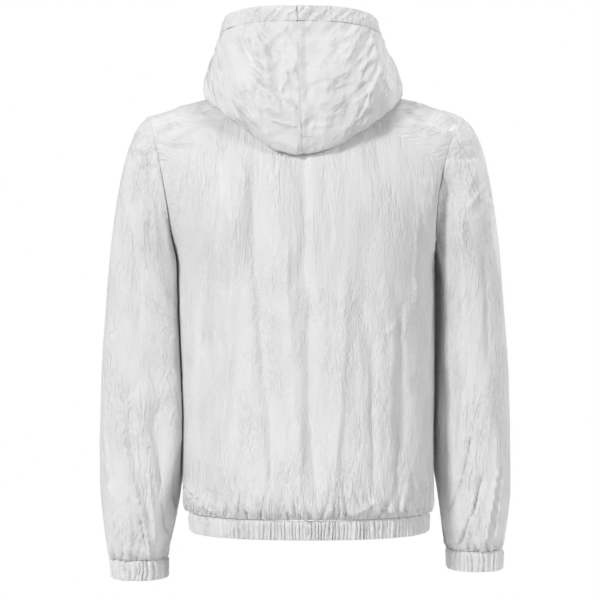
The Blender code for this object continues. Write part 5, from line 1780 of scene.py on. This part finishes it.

# %% [markdown]
# ## What each piece is, rides on and replaces
# Every piece of cloth rides on the body that stands for the garment and replaces its packed
# solid. Plain cloth uses the nylon, elasticated cloth the gathered one. The stop, the slider and
# the pull keep their packed shapes and only get a better finish.


def dress(piece, node, slot, finish=None):
    piece.data.materials.clear()
    piece.data.materials.append(finish or nylon[slot])
    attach(piece, "garment")
    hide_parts(node)


dress(back_panel, "back", "nylon")
dress(front_panel, "front", "nylon")
dress(hem_band, "hem_band", "gathered_nylon")
for side in (LEFT, RIGHT):
    name = SIDE_NAMES[side]
    dress(sleeves[side], "sleeve_" + name, "nylon",
          finish=nylon["sleeve"])
    dress(cuffs[side], "cuff_" + name, "gathered_nylon")
    dress(hoods[side], "hood_" + name, "nylon",
          finish=nylon["hood"])
    dress(casings[side], "hood_casing_" + name, "gathered_nylon")
    dress(tapes[side], "zip_tape_" + name, "zip_tape",
          finish=woven_tape)
for name, (_, slot) in sewn.items():
    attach(seams[name], "garment")
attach(teeth, "garment")
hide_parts("zip_chain")
for name in ("zip_stop", "zip_slider", "zip_pull"):
    kept = frame["nodes"][name]
    kept.data.materials.clear()
    kept.data.materials.append(painted_metal)

# %% [markdown]
# ## Light and floor
# White cloth shows its form only where light grazes it. One strong light comes from the upper
# left behind the garment, a weaker one fills from the right and a low one reaches the gathers at
# the hem and cuffs. Two tall lights in front of the garment brighten its sides and one above the
# shoulders. The surround is white to the eye and gives a softer light from all round. The floor
# is a plain pale disc.

# %% Lights
def area_light(name, place, size, power, toward=(0, 0, -0.32)):
    light = bpy.data.lights.new(name, "AREA")
    light.shape = "RECTANGLE"
    light.size, light.size_y = size
    light.energy = power
    lamp = bpy.data.objects.new(name, light)
    bpy.context.scene.collection.objects.link(lamp)
    lamp.location = place
    lamp.rotation_euler = (Vector(toward) - Vector(place)).to_track_quat("-Z", "Y").to_euler()


area_light("left key", (3.2, 3.4, 1.9), (1.0, 1.0), 150)
area_light("right fill", (-3.0, 3.0, 1.2), (0.8, 0.8), 62)
area_light("left side", (1.6, -0.7, 0.1), (0.6, 1.8), 8)
area_light("right side", (-1.6, -0.8, 0.1), (0.6, 1.8), 14)
area_light("top", (-0.5, -0.3, 2.2), (1.0, 0.6), 18)
area_light("low fill", (2.2, 2.4, -0.45), (0.8, 0.4), 11, toward=(0, 0, -0.70))
print("lights", {light.name: light.energy for light in bpy.data.lights})

# %% Surround and floor
SURROUND_STRENGTH = 0.27
FLOOR_DROP, FLOOR_RADIUS = 0.26, 1.15     # the drop is from the lowest point of the packed model
sky = bpy.data.worlds.new("pale surround")
surround = Finish(sky.name, sky, "Background")
surround.fill(surround.surface, {"Color": (1, 1, 1, 1)})
surround.fill(surround.tree.nodes["World Output"], {"Surface": surround.node("MixShader", None, {
    0: surround.node("LightPath"),
    1: surround.node("Background", None, {"Color": (1, 1, 1, 1), "Strength": SURROUND_STRENGTH}),
    2: Value(surround, surround.surface.outputs[0]),
})})
bpy.context.scene.world = sky
bpy.context.scene.view_settings.view_transform = "Standard"

select_only(camera)
floor_at = (0, 0, low_corner.z - FLOOR_DROP)
bpy.ops.mesh.primitive_circle_add(
    vertices=96, radius=FLOOR_RADIUS, fill_type="NGON", location=floor_at,
)
floor_disc = bpy.context.object
floor_disc.name = "floor"
floor_paint = Finish("pale floor")
floor_paint.fill(floor_paint.surface, {"Base Color": (0.82, 0.82, 0.82, 1), "Roughness": 0.8})
floor_disc.data.materials.append(floor_paint.material)
print("floor at", round(floor_disc.location.z, 3), "m")
